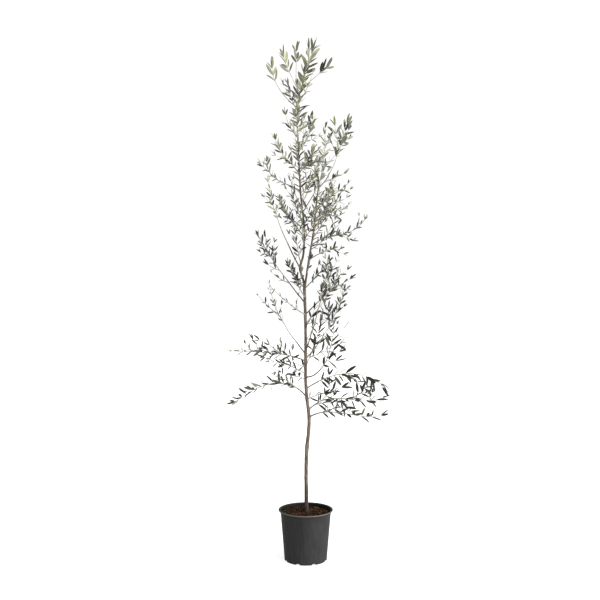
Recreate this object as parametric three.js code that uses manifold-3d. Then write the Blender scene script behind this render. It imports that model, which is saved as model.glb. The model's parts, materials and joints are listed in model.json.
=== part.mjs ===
// A young olive tree, two metres tall, in a round 5 litre nursery pot.
// Millimetres and degrees, +Z up. The origin is the centre of the pot's flat underside; +X is to the
// right seen from the front, +Y to the back. Azimuths run from +X towards +Y.
import * as THREE from "three";
import { mergeVertices } from "three/addons/utils/BufferGeometryUtils.js";
import Module from "manifold-3d";

const wasm = await Module();
wasm.setup();

// ---- Driving dimensions ----

const POT = { height: 192, rimRadius: 105, neckRadius: 98, baseRadius: 82, wall: 2.2, lipDepth: 7 };
const POT_SIDES = 36;
const DRAIN_SLOTS = 8;
const DRAIN_SLOT = { width: 17, height: 6, depth: 14 };

const SOIL_TOP = 180;
const SOIL_EDGE_DROP = 4;

// The clear gap between neighbouring solids, and the size under which a cut's slivers are dropped.
const GAP = 0.3;
const SLIVER = 0.02;

// Each main stem runs from foot to head; a bow pushes it aside near one height.
const STEMS = {
  trunk: {
    foot: [3, 0, SOIL_TOP + GAP],
    head: [-5, 0, 1060],
    footRadius: 7.4,
    headRadius: 5.2,
    bows: [
      { height: 530, spread: 95, x: 13, y: -3 },
      { height: 860, spread: 160, x: 3, y: 5 },
    ],
    flare: 3.2,
    sides: 8,
    step: 62,
  },
  leader_left: {
    foot: [-5, 0, 1060 + GAP],
    head: [-31, 24, 1640],
    footRadius: 4.6,
    headRadius: 2.3,
    bows: [
      { height: 1118, spread: 38, x: -14, y: 0 },
      { height: 1275, spread: 90, x: 9, y: -4 },
    ],
    flare: 0,
    sides: 6,
    step: 36,
  },
  leader_right: {
    foot: [-6, 0, 1024],
    head: [51, -26, 1445],
    footRadius: 4.2,
    headRadius: 2.3,
    bows: [{ height: 1260, spread: 80, x: 4, y: 2 }],
    flare: 0,
    sides: 6,
    step: 36,
  },
};
const FLARE_HEIGHT = 16;

// Every leafy shoot: its name, the limb it grows on, the height on a main stem or the distance along
// another shoot, its azimuth, its length, its rise above level at the start, middle and end, and the
// bare length before its leaves.
const SHOOTS = [
  ["low_right_1", "trunk", 545, -31, 312, [34, -4, 16], 58],
  ["low_right_2", "trunk", 572, 24, 340, [48, -8, 18], 51],
  ["low_right_2_spur", "low_right_2", 64, 14, 98, [45, 35, 6], 13],
  ["low_right_3", "trunk", 655, 6, 325, [34, 4, -46], 55],
  ["low_right_4", "trunk", 700, -50, 330, [2, 62, 88], 105],
  ["low_right_5", "trunk", 741, 70, 259, [27, 42, 51], 45],
  ["low_right_6", "trunk", 770, 40, 333, [38, 52, 64], 93],
  ["low_right_6_spur", "low_right_6", 105, 12, 90, [36, 42, 52], 14],
  ["low_right_7", "trunk", 802, -61, 376, [52, 64, 66], 125],
  ["low_right_8", "trunk", 940, -20, 225, [45, 38, 25], 58],
  ["low_right_9", "trunk", 905, 42, 245, [36, 46, 48], 48],
  ["low_right_10", "leader_right", 1040, -58, 200, [30, 30, 34], 43],
  ["low_left_1", "trunk", 620, 161, 337, [55, -12, -36], 51],
  ["low_left_1_spur", "low_left_1", 64, 226, 109, [37, 26, 17], 18],
  ["low_left_2", "trunk", 712, 222, 190, [30, 17, 5], 44],
  ["low_left_3", "trunk", 762, 202, 302, [24, 6, 4], 58],
  ["low_left_3_spur", "low_left_3", 110, 190, 95, [45, 35, 20], 12],
  ["low_left_4", "trunk", 788, 139, 342, [42, 52, 80], 67],
  ["low_left_4_spur", "low_left_4", 196, 190, 122, [40, 44, 50], 18],
  ["low_left_5", "trunk", 940, 227, 215, [22, 30, 34], 38],
  ["low_left_6", "trunk", 985, 149, 345, [48, 50, 59], 127],
  ["low_left_6_spur", "low_left_6", 215, 190, 80, [55, 50, 55], 17],
  ["low_left_7", "trunk", 1005, 244, 186, [40, 43, 46], 32],
  ["high_right_1", "leader_right", 1205, -34, 257, [39, 7, 57], 43],
  ["high_right_2", "leader_right", 1265, 46, 210, [46, 59, 66], 24],
  ["high_right_2_spur", "high_right_2", 60, -8, 103, [39, 49, 63], 11],
  ["high_right_3", "leader_right", 1300, 48, 190, [35, 15, 18], 45],
  ["high_right_4", "leader_right", 1352, -47, 181, [23, 23, 27], 40],
  ["high_right_5", "leader_right", 1425, 48, 305, [34, 61, 70], 103],
  ["high_right_5_spur", "high_right_5", 205, 8, 90, [50, 65, 75], 12],
  ["high_right_6", "leader_right", 1436, -62, 215, [60, 78, 88], 40],
  ["high_right_7", "leader_right", 1150, -48, 175, [25, 12, -5], 30],
  ["high_right_8", "leader_right", 1230, 60, 175, [35, 45, 50], 30],
  ["middle_1", "leader_left", 1335, -55, 192, [38, 46, 58], 32],
  ["middle_2", "leader_left", 1372, 52, 198, [43, 58, 68], 30],
  ["middle_3", "leader_left", 1490, -50, 105, [35, 40, 50], 15],
  ["middle_4", "leader_left", 1575, 40, 152, [38, 63, 84], 23],
  ["middle_5", "leader_left", 1432, 35, 140, [35, 36, 45], 25],
  ["middle_6", "leader_left", 1530, -105, 115, [48, 60, 70], 20],
  ["high_left_1", "leader_left", 1626, 203, 100, [45, 58, 76], 17],
  ["high_left_2", "leader_left", 1486, 217, 165, [44, 40, 65], 23],
  ["high_left_3", "leader_left", 1418, 151, 210, [36, 28, 92], 55],
  ["high_left_3_spur", "high_left_3", 165, 225, 52, [25, 30, 30], 8],
  ["high_left_4", "leader_left", 1118, 200, 353, [61, 67, 82], 111],
  ["high_left_5", "leader_left", 1240, 141, 205, [43, 52, 56], 28],
  ["high_left_6", "leader_left", 1290, 236, 126, [44, 53, 59], 23],
  ["high_left_7", "leader_left", 1200, 262, 145, [50, 60, 68], 25],
  ["high_left_8", "leader_left", 1352, 128, 150, [48, 58, 66], 25],
  ["high_left_9", "leader_left", 1138, 235, 132, [60, 72, 78], 25],
  ["top", "leader_left", 1640, 0, 340, [96, 78, 68], 0],
  ["top_spur_1", "top", 102, 161, 200, [40, 54, 86], 25],
  ["top_spur_2", "top", 140, 150, 182, [74, 88, 92], 20],
  ["top_spur_3", "top", 162, 214, 143, [51, 58, 71], 21],
  ["top_spur_4", "top", 172, -31, 130, [41, 29, 32], 24],
  ["top_spur_5", "top", 92, 205, 95, [50, 66, 75], 15],
  ["top_spur_6", "top", 122, -40, 130, [38, 56, 70], 15],
];

// A shoot with at least this much bare wood has a bough of its own below its leaves.
const BOUGH_FROM = 50;

const SHOOT_RADIUS = { foot: 1.9, tip: 0.95 };
const FOOT_GROWTH = 0.0025; // extra foot radius for each millimetre of a shoot's length
const SHOOT_STEP = 40;
const BOUGH_SIDES = 5;
const STEM_SIDES = 3;

// Leaves stand in pairs, each pair a quarter turn round from the last.
const LEAF = { length: 47, widthShare: 0.2, thickness: 1.2, belly: 0.44, sink: 0.1 };
const LEAF_SPREAD = { foot: 56, tip: 26, scatter: 22 };
const LEAF_ROLL = 130; // the whole range of turn of a blade about its own midrib
const LEAF_LIFT = { upright: 0.1, level: 0.5 };
const PAIR_SPACING = 34;
const FIRST_PAIR = 9;
const QUARTER_TURN = 90;

// A side twig grows at every few pairs of a long shoot and carries small pairs of its own.
const TWIG = { everyPairs: 3, minShoot: 140, length: 62, spread: 46, radius: 1.0, pairSpacing: 26, leafShare: 0.85 };

// ---- Small tools ----

const radians = THREE.MathUtils.degToRad;
const lerp = THREE.MathUtils.lerp;
const WORLD_UP = new THREE.Vector3(0, 0, 1);

// A repeatable number from 0 to 1 for a plant part, so that the same tree grows each time.
function scatter(shootNumber, place, use) {
  const value = Math.sin(shootNumber * 12.9898 + place * 78.233 + use * 37.719) * 43758.5453;
  return value - Math.floor(value);
}

// The unit vector at an azimuth and a rise above level.
function heading(azimuth, rise) {
  const a = radians(azimuth);
  const e = radians(rise);
  return new THREE.Vector3(Math.cos(e) * Math.cos(a), Math.cos(e) * Math.sin(a), Math.sin(e));
}

// A closed three.js geometry as a manifold-3d solid.
function solidOf(geometry) {
  const bare = new THREE.BufferGeometry();
  const source = geometry.index ? geometry.toNonIndexed() : geometry;
  bare.setAttribute("position", source.getAttribute("position"));
  const merged = mergeVertices(bare, 1e-4);
  return new wasm.Manifold(
    new wasm.Mesh({
      numProp: 3,
      vertProperties: new Float32Array(merged.attributes.position.array),
      triVerts: new Uint32Array(merged.index.array),
    }),
  );
}

// The largest body of a solid, with its slivers smoothed away, so that a scrap left by a cut is dropped.
function mainBody(solid) {
  const main = solid.decompose().reduce((best, body) => (body.volume() > best.volume() ? body : best));
  return main.simplify(SLIVER);
}

function geometryOf(solid) {
  const mesh = solid.getMesh();
  const positions = new Float32Array(mesh.numVert * 3);
  for (let i = 0; i < mesh.numVert; i++) {
    positions.set(mesh.vertProperties.subarray(i * mesh.numProp, i * mesh.numProp + 3), i * 3);
  }
  const geometry = new THREE.BufferGeometry();
  geometry.setAttribute("position", new THREE.BufferAttribute(positions, 3));
  geometry.setIndex(new THREE.BufferAttribute(new Uint32Array(mesh.triVerts), 1));
  return geometry;
}

// ---- Limbs ----

// A main stem: a line from foot to head pushed aside by its bows, measured by height.
class Stem {
  constructor(name, { foot, head, footRadius, headRadius, bows, flare, sides, step }) {
    Object.assign(this, { name, foot, head, footRadius, headRadius, bows, flare, sides });
    this.low = foot[2];
    this.high = head[2];
    this.steps = Math.round((this.high - this.low) / step);
  }

  point(height) {
    const share = (height - this.low) / (this.high - this.low);
    const place = new THREE.Vector3(
      lerp(this.foot[0], this.head[0], share),
      lerp(this.foot[1], this.head[1], share),
      height,
    );
    for (const bow of this.bows) {
      const push = Math.exp(-(((height - bow.height) / bow.spread) ** 2));
      place.x += bow.x * push;
      place.y += bow.y * push;
    }
    return place;
  }

  // Every cross-section is level, so the cut at the foot is flat on the ground.
  frame() {
    return { up: new THREE.Vector3(1, 0, 0), side: new THREE.Vector3(0, -1, 0) };
  }

  radius(height) {
    const share = (height - this.low) / (this.high - this.low);
    const flare = this.flare * Math.exp(-(height - this.low) / FLARE_HEIGHT);
    return lerp(this.footRadius, this.headRadius, share) + flare;
  }

  // Rings crowd together at the flare, where the outline bends most.
  ringHeights() {
    const even = Array.from({ length: this.steps + 1 }, (_, i) => lerp(this.low, this.high, i / this.steps));
    const flareRings = this.flare ? [this.low + FLARE_HEIGHT / 2, this.low + FLARE_HEIGHT * 1.8] : [];
    return [...even, ...flareRings].sort((a, b) => a - b);
  }
}

// A shoot: it leaves its foot at an azimuth, and its rise changes smoothly along its length.
class Shoot {
  constructor(number, name, parent, at, azimuth, length, rise, bare) {
    Object.assign(this, { number, name, parent, azimuth, length, rise, bare });
    this.steps = Math.max(2, Math.round(length / SHOOT_STEP));
    this.side = heading(azimuth + 90, 0);
    this.points = [parent.point(at)];
    for (let i = 0; i < this.steps; i++) {
      const stride = this.along(((i + 0.5) / this.steps) * length).multiplyScalar(length / this.steps);
      this.points.push(this.points[i].clone().add(stride));
    }
  }

  // The parabola through the rise at the start, the middle and the end.
  riseAt(distance) {
    const s = distance / this.length;
    const [start, middle, end] = this.rise;
    return start * (1 - s) * (1 - 2 * s) + middle * 4 * s * (1 - s) + end * s * (2 * s - 1);
  }

  along(distance) {
    return heading(this.azimuth, this.riseAt(distance));
  }

  point(distance) {
    const place = (distance / this.length) * this.steps;
    const i = THREE.MathUtils.clamp(Math.floor(place), 0, this.steps - 1);
    return this.points[i].clone().lerp(this.points[i + 1], place - i);
  }

  frame(distance) {
    const along = this.along(distance);
    return { up: new THREE.Vector3().crossVectors(along, this.side), side: this.side, along };
  }

  radius(distance) {
    const foot = SHOOT_RADIUS.foot + FOOT_GROWTH * this.length;
    return lerp(foot, SHOOT_RADIUS.tip, distance / this.length);
  }

  ringDistances(from, to) {
    const inner = this.points.map((_, i) => (i / this.steps) * this.length);
    const margin = SHOOT_STEP / 4;
    return [from, ...inner.filter((d) => d > from + margin && d < to - margin), to];
  }
}

// A straight side twig off a shoot.
class Twig {
  constructor(foot, direction, length, radius) {
    Object.assign(this, { foot, direction, length });
    this.footRadius = radius;
    this.side = new THREE.Vector3().crossVectors(WORLD_UP, direction).normalize();
  }

  point(distance) {
    return this.foot.clone().addScaledVector(this.direction, distance);
  }

  frame() {
    return {
      up: new THREE.Vector3().crossVectors(this.direction, this.side),
      side: this.side,
      along: this.direction,
    };
  }

  radius(distance) {
    return lerp(this.footRadius, this.footRadius * 0.8, distance / this.length);
  }
}

// A limb's solid: a cylinder whose rings are carried along the limb and scaled to its taper.
function limbSolid(limb, rings, sides, extra = 0) {
  const geometry = new THREE.CylinderGeometry(1, 1, 1, sides, rings.length - 1);
  const position = geometry.getAttribute("position");
  for (let i = 0; i < position.count; i++) {
    const ring = Math.round((position.getY(i) + 0.5) * (rings.length - 1));
    const where = rings[ring];
    const { up, side } = limb.frame(where);
    const radius = limb.radius(where) + extra;
    const place = limb
      .point(where)
      .addScaledVector(up, position.getX(i) * radius)
      .addScaledVector(side, position.getZ(i) * radius);
    position.setXYZ(i, place.x, place.y, place.z);
  }
  return solidOf(geometry);
}

// ---- Leaves ----

// A leaf is a sphere of six faces drawn out to a narrow blade: root, tip, two edges and a ridge.
function leafSolid({ root, along, normal, length }) {
  const geometry = new THREE.SphereGeometry(1, 3, 2);
  const position = geometry.getAttribute("position");
  const across = new THREE.Vector3().crossVectors(along, normal);
  const widthScale = (length * LEAF.widthShare) / Math.sqrt(3);
  const heightScale = LEAF.thickness / 1.5;
  for (let i = 0; i < position.count; i++) {
    const y = position.getY(i);
    const forward = y > 0.5 ? length : y < -0.5 ? -LEAF.sink : LEAF.belly * length;
    const place = root
      .clone()
      .addScaledVector(along, forward)
      .addScaledVector(across, position.getZ(i) * widthScale)
      .addScaledVector(normal, -position.getX(i) * heightScale);
    position.setXYZ(i, place.x, place.y, place.z);
  }
  return solidOf(geometry);
}

// One leaf at a distance along a limb, turned by an angle round it. On a level limb it lifts to the light.
function leafAt(limb, distance, { turn, spread, roll, length }) {
  const { up, side, along } = limb.frame(distance);
  const outward = up
    .clone()
    .multiplyScalar(Math.cos(radians(turn)))
    .addScaledVector(side, Math.sin(radians(turn)));
  const direction = along
    .clone()
    .multiplyScalar(Math.cos(radians(spread)))
    .addScaledVector(outward, Math.sin(radians(spread)))
    .addScaledVector(WORLD_UP, lerp(LEAF_LIFT.level, LEAF_LIFT.upright, Math.abs(along.z)))
    .normalize();
  const light = WORLD_UP.clone().add(along);
  const normal = light.addScaledVector(direction, -light.dot(direction)).normalize();
  normal.applyAxisAngle(direction, radians(roll));
  return { root: limb.point(distance), along: direction, normal, length };
}

// The leaves of a limb from a first distance to its end: pairs a quarter turn apart, then one at the tip.
function leavesOn(limb, number, first, spacing, leafLength) {
  const leaves = [];
  const pairs = Math.max(1, Math.floor((limb.length - first) / spacing));
  for (let pair = 0; pair < pairs; pair++) {
    const distance = first + pair * spacing;
    const share = distance / limb.length;
    const turn = pair * QUARTER_TURN + (scatter(number, pair, 1) - 0.5) * 50;
    for (const hand of [0, 1]) {
      const use = 2 + hand * 3;
      const spread =
        lerp(LEAF_SPREAD.foot, LEAF_SPREAD.tip, share ** 2) +
        (scatter(number, pair, use) - 0.5) * LEAF_SPREAD.scatter;
      const roll = (scatter(number, pair, use + 1) - 0.5) * LEAF_ROLL;
      const length = leafLength * (0.82 + 0.3 * scatter(number, pair, use + 2)) * (1 - 0.2 * share);
      leaves.push(leafAt(limb, distance, { turn: turn + hand * 180, spread, roll, length }));
    }
  }
  const tip = { turn: 360 * scatter(number, pairs, 9), spread: 8, roll: 0, length: leafLength * 0.85 };
  leaves.push(leafAt(limb, limb.length - 1, tip));
  return leaves;
}

// ---- Keeping each mass to its own space ----

const BLADE_START = 0.3;
const BLADE_GAP = 2.5;
const taken = [];

// The shortest distance between two straight stretches.
function stretchDistance(p, q) {
  const d1 = q.end.clone().sub(q.start);
  const d2 = p.end.clone().sub(p.start);
  const r = q.start.clone().sub(p.start);
  const a = d1.dot(d1);
  const e = d2.dot(d2);
  const b = d1.dot(d2);
  const c = d1.dot(r);
  const f = d2.dot(r);
  const denominator = a * e - b * b;
  const clamp = THREE.MathUtils.clamp;
  let s = denominator > 1e-9 ? clamp((b * f - c * e) / denominator, 0, 1) : 0;
  const t = clamp((b * s + f) / e, 0, 1);
  s = clamp((b * t - c) / a, 0, 1);
  const onQ = q.start.clone().addScaledVector(d1, s);
  const onP = p.start.clone().addScaledVector(d2, t);
  return onQ.distanceTo(onP);
}

// The outer part of a leaf, which crosses no other leaf of its own mass.
function blade({ start, end }) {
  return { start: start.clone().lerp(end, BLADE_START), end };
}

function isClear(stretch) {
  return taken.every((other) => {
    if (other.owner !== stretch.owner) {
      return stretchDistance(stretch, other) > stretch.radius + other.radius + GAP;
    }
    return !(stretch.isLeaf && other.isLeaf) || stretchDistance(blade(stretch), blade(other)) > BLADE_GAP;
  });
}

function take(stretch) {
  taken.push(stretch);
}

function takeLimb(limb, rings, owner) {
  for (let i = 0; i + 1 < rings.length; i++) {
    take({ start: limb.point(rings[i]), end: limb.point(rings[i + 1]), radius: limb.radius(rings[i]), owner });
  }
}

function leafStretch(leaf, owner) {
  return {
    start: leaf.root,
    end: leaf.root.clone().addScaledVector(leaf.along, leaf.length),
    radius: (leaf.length * LEAF.widthShare) / 2,
    isLeaf: true,
    owner,
  };
}

// ---- The plant ----

const COLOURS = {
  pot: new THREE.MeshStandardMaterial({ color: 0x3c3d3f, roughness: 0.6, metalness: 0 }),
  soil: new THREE.MeshStandardMaterial({ color: 0x35241a, roughness: 1, metalness: 0 }),
  bark: new THREE.MeshStandardMaterial({ color: 0x7d7264, roughness: 0.85, metalness: 0 }),
  shoot: new THREE.MeshStandardMaterial({ color: 0x8b8b76, roughness: 0.8, metalness: 0 }),
  foliage: new THREE.MeshStandardMaterial({ color: 0x5f6a4c, roughness: 0.6, metalness: 0 }),
};

const tree = new THREE.Group();

function addNode(name, solid, material) {
  const mesh = new THREE.Mesh(geometryOf(solid), material);
  mesh.name = name;
  tree.add(mesh);
}

// A profile of [radius, height] points turned about the upright axis.
function turned(profile, sides) {
  const geometry = new THREE.LatheGeometry(
    profile.map(([radius, height]) => new THREE.Vector2(radius, height)),
    sides,
  );
  return solidOf(geometry.rotateX(Math.PI / 2));
}

// The radius of the pot's outer wall at a height.
function wallRadius(height) {
  return lerp(POT.baseRadius, POT.neckRadius, height / (POT.height - POT.lipDepth));
}

function potSolid() {
  const { height, rimRadius, neckRadius, baseRadius, wall, lipDepth } = POT;
  const lipFoot = height - lipDepth;
  let pot = turned(
    [
      [0, 0],
      [baseRadius - 3, 0],
      [baseRadius, 3],
      [neckRadius, lipFoot],
      [rimRadius - 1, lipFoot + 1.5],
      [rimRadius, lipFoot + 3],
      [rimRadius, height - 1.5],
      [rimRadius - 1.5, height],
      [neckRadius + 1, height],
      [neckRadius - wall, height - 3],
      [wallRadius(wall + 4) - wall, wall + 4],
      [baseRadius - wall - 4, wall],
      [0, wall],
    ],
    POT_SIDES,
  );
  for (let i = 0; i < DRAIN_SLOTS; i++) {
    const slot = new THREE.BoxGeometry(DRAIN_SLOT.depth, DRAIN_SLOT.width, DRAIN_SLOT.height * 2);
    slot.translate(baseRadius, 0, 0).rotateZ(((i + 0.5) / DRAIN_SLOTS) * 2 * Math.PI);
    pot = pot.subtract(solidOf(slot));
  }
  return pot;
}

// The compost fills the pot to just under its rim and is level where the trunk stands.
function soilSolid() {
  const floor = POT.wall + GAP;
  const footHeight = floor + 5;
  const clear = POT.wall + GAP * 2;
  const edge = SOIL_TOP - SOIL_EDGE_DROP;
  return turned(
    [
      [0, floor],
      [POT.baseRadius - DRAIN_SLOT.depth - GAP, floor],
      [wallRadius(footHeight) - clear - 6, footHeight + DRAIN_SLOT.height],
      [wallRadius(footHeight + 20) - clear, footHeight + 20],
      [wallRadius(edge) - clear, edge],
      [wallRadius(edge) * 0.6, SOIL_TOP - 1],
      [26, SOIL_TOP],
      [0, SOIL_TOP],
    ],
    POT_SIDES,
  );
}

addNode("pot", potSolid(), COLOURS.pot);
addNode("soil", soilSolid(), COLOURS.soil);

const limbs = {};
for (const [name, sizes] of Object.entries(STEMS)) limbs[name] = new Stem(name, sizes);

const stemSolids = {};
const stemRoom = {};
for (const stem of Object.values(limbs)) {
  const rings = stem.ringHeights();
  stemSolids[stem.name] = limbSolid(stem, rings, stem.sides);
  stemRoom[stem.name] = limbSolid(stem, rings, stem.sides, GAP);
  takeLimb(stem, rings, stem.name);
}
stemSolids.leader_right = mainBody(
  stemSolids.leader_right.subtract(stemRoom.trunk).subtract(stemRoom.leader_left),
);
for (const stem of ["trunk", "leader_left", "leader_right"]) addNode(stem, stemSolids[stem], COLOURS.bark);

SHOOTS.forEach(([name, on, at, azimuth, length, rise, bare], i) => {
  limbs[name] = new Shoot(i + 1, name, limbs[on], at, azimuth, length, rise, bare);
});
const shoots = SHOOTS.map(([name]) => limbs[name]);

// A spur belongs to the mass of the shoot it grows on.
function massOf(shoot) {
  return shoot.parent instanceof Shoot ? massOf(shoot.parent) : shoot.name;
}

const hasBough = (shoot) => !(shoot.parent instanceof Shoot) && shoot.bare >= BOUGH_FROM;
for (const shoot of shoots) takeLimb(shoot, shoot.ringDistances(0, shoot.length), massOf(shoot));

// Side twigs off a long shoot, each skipped where another mass is in its way.
function twigsOf(shoot) {
  const twigs = [];
  if (shoot.length - shoot.bare < TWIG.minShoot) return twigs;
  const stride = TWIG.everyPairs * PAIR_SPACING;
  const first = shoot.bare + FIRST_PAIR + PAIR_SPACING / 2;
  for (let n = 0; first + n * stride < shoot.length * 0.85; n++) {
    const distance = first + n * stride;
    const turn = n * QUARTER_TURN * 1.5 + scatter(shoot.number, n, 11) * 60;
    const length = TWIG.length * (1.15 - 0.5 * (distance / shoot.length));
    const { along } = leafAt(shoot, distance, { turn, spread: TWIG.spread, roll: 0, length });
    const twig = new Twig(shoot.point(distance), along, length, TWIG.radius);
    const owner = massOf(shoot);
    const stretch = { start: twig.foot, end: twig.point(length), radius: TWIG.radius, owner };
    if (!isClear(stretch)) continue;
    take(stretch);
    twigs.push(twig);
  }
  return twigs;
}

const twigsByShoot = new Map(shoots.map((shoot) => [shoot, twigsOf(shoot)]));

const massSolids = {};
let leafCount = 0;
for (const shoot of shoots) {
  const owner = massOf(shoot);
  const onStem = !(shoot.parent instanceof Shoot);
  const start = hasBough(shoot) ? shoot.bare + GAP : 0;
  let stem = limbSolid(shoot, shoot.ringDistances(start, shoot.length), STEM_SIDES);
  const leaves = leavesOn(shoot, shoot.number, shoot.bare + FIRST_PAIR, PAIR_SPACING, LEAF.length);
  const pieces = [];
  twigsByShoot.get(shoot).forEach((twig, n) => {
    pieces.push(limbSolid(twig, [0, twig.length], STEM_SIDES));
    const number = shoot.number * 100 + n;
    leaves.push(...leavesOn(twig, number, TWIG.pairSpacing, TWIG.pairSpacing, LEAF.length * TWIG.leafShare));
  });
  for (const leaf of leaves) {
    const stretch = leafStretch(leaf, owner);
    if (!isClear(stretch)) continue;
    take(stretch);
    pieces.push(leafSolid(leaf));
    leafCount += 1;
  }
  for (const piece of pieces) stem = stem.add(piece);
  if (onStem && !hasBough(shoot)) stem = stem.subtract(stemRoom[shoot.parent.name]);
  if (hasBough(shoot)) {
    const bough = limbSolid(shoot, shoot.ringDistances(0, shoot.bare), BOUGH_SIDES);
    const cut = bough.subtract(stemRoom[shoot.parent.name]);
    addNode("bough_" + shoot.name, mainBody(cut), COLOURS.shoot);
  }
  massSolids[owner] = massSolids[owner] ? massSolids[owner].add(stem) : stem;
}
for (const [name, solid] of Object.entries(massSolids)) {
  addNode("foliage_" + name, mainBody(solid), COLOURS.foliage);
}
console.log(leafCount + " leaves");

export default tree;
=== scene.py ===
"""A young olive tree, two metres tall, in a round nursery pot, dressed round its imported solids.

Sizes are in millimetres everywhere but in the finished meshes, the materials and the studio, which are in
metres. The origin is the centre of the pot's flat underside, +Z is up, +X is to the right seen from the
front and +Y is to the back. Azimuths are in degrees from +X towards +Y. The stems, shoots, twigs and leaves
follow the rule of the solids, with closer pairs of leaves, more side twigs, and finer shoots within the
same reach.
"""

import json
import logging
import math
from collections.abc import Callable, Iterable, Sequence
from dataclasses import dataclass, field, fields, replace
from enum import Enum
from typing import NamedTuple, Protocol

import bpy
import numpy as np
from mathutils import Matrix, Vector

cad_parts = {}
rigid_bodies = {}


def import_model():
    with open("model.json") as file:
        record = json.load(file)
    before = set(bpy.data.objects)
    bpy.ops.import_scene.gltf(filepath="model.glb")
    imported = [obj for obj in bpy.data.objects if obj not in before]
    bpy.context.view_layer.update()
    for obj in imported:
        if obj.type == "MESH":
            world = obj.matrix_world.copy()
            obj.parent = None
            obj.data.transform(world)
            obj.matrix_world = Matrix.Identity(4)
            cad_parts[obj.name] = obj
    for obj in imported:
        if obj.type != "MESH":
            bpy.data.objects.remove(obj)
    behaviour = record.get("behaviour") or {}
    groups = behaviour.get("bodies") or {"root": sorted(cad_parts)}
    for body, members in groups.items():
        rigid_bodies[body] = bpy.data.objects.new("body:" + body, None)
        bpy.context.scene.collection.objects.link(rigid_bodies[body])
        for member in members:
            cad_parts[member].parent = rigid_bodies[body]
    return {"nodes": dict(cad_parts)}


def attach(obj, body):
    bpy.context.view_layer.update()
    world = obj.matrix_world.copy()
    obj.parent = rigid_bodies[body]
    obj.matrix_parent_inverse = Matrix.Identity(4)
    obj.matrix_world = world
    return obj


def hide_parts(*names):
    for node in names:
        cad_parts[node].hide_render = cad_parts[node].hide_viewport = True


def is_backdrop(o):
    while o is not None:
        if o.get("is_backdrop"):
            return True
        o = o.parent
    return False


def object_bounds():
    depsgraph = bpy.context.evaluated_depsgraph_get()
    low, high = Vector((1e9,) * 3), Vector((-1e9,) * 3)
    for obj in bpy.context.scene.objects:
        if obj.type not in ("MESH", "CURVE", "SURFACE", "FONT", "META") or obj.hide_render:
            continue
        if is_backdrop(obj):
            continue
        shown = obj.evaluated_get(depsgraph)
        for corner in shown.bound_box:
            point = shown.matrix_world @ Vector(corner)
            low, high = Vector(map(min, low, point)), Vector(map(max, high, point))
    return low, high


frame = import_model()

logging.basicConfig(level=logging.INFO, format="%(name)s: %(message)s")
log = logging.getLogger("olive")

MM = 0.001
BODY = "root"
UP = np.array([0.0, 0.0, 1.0])
LEAF_UV = "blade"
TONE = "tone"
Numbers = float | np.ndarray
Triple = tuple[float, float, float]


# ---- Numbers ----


def scatter(*keys: Numbers) -> np.ndarray:
    """Repeatable numbers from 0 to 1: the fraction of sin(12.9898 a + 78.233 b + 37.719 c) x 43758.5453.

    Args:
        keys: Up to three numbers or arrays that name the place and the use.

    Returns:
        An array of the keys' shape.
    """
    weights = (12.9898, 78.233, 37.719)
    value = np.sin(sum(np.asarray(k, float) * w for k, w in zip(keys, weights))) * 43758.5453
    return value - np.floor(value)


def signed(*keys: Numbers) -> np.ndarray:
    """Repeatable numbers from -1 to 1, twice scatter less one."""
    return 2.0 * scatter(*keys) - 1.0


def unit(vectors: np.ndarray) -> np.ndarray:
    """The vectors divided by their lengths."""
    return vectors / np.linalg.norm(vectors, axis=-1, keepdims=True)


def heading(azimuth: Numbers, rise: Numbers) -> np.ndarray:
    """Unit vectors (cos e cos a, cos e sin a, sin e) for an azimuth a and a rise e in degrees."""
    a, e = np.broadcast_arrays(np.radians(azimuth), np.radians(rise))
    return np.stack([np.cos(e) * np.cos(a), np.cos(e) * np.sin(a), np.sin(e)], axis=-1)


def turned(vectors: np.ndarray, axes: np.ndarray, degrees: np.ndarray) -> np.ndarray:
    """Rodrigues' formula: v cos t + (k x v) sin t + k (k . v)(1 - cos t), for vectors v about unit axes k.

    Args:
        vectors: The vectors.
        axes: A unit axis for each.
        degrees: An angle for each.

    Returns:
        The turned vectors.
    """
    t = np.radians(degrees)[..., None]
    along = np.sum(vectors * axes, axis=-1, keepdims=True)
    return vectors * np.cos(t) + np.cross(axes, vectors) * np.sin(t) + axes * along * (1 - np.cos(t))


def soft_step(low: float, high: float, values: np.ndarray) -> np.ndarray:
    """The smooth step 3 s^2 - 2 s^3 of s = (values - low) / (high - low), held within 0 and 1."""
    s = np.clip((values - low) / (high - low), 0.0, 1.0)
    return s * s * (3 - 2 * s)


def angles_round(sides: int) -> np.ndarray:
    """Even angles once round, in radians: 2 pi k / sides."""
    return np.arange(sides) / sides * 2 * np.pi


# ---- Surfaces ----


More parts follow.
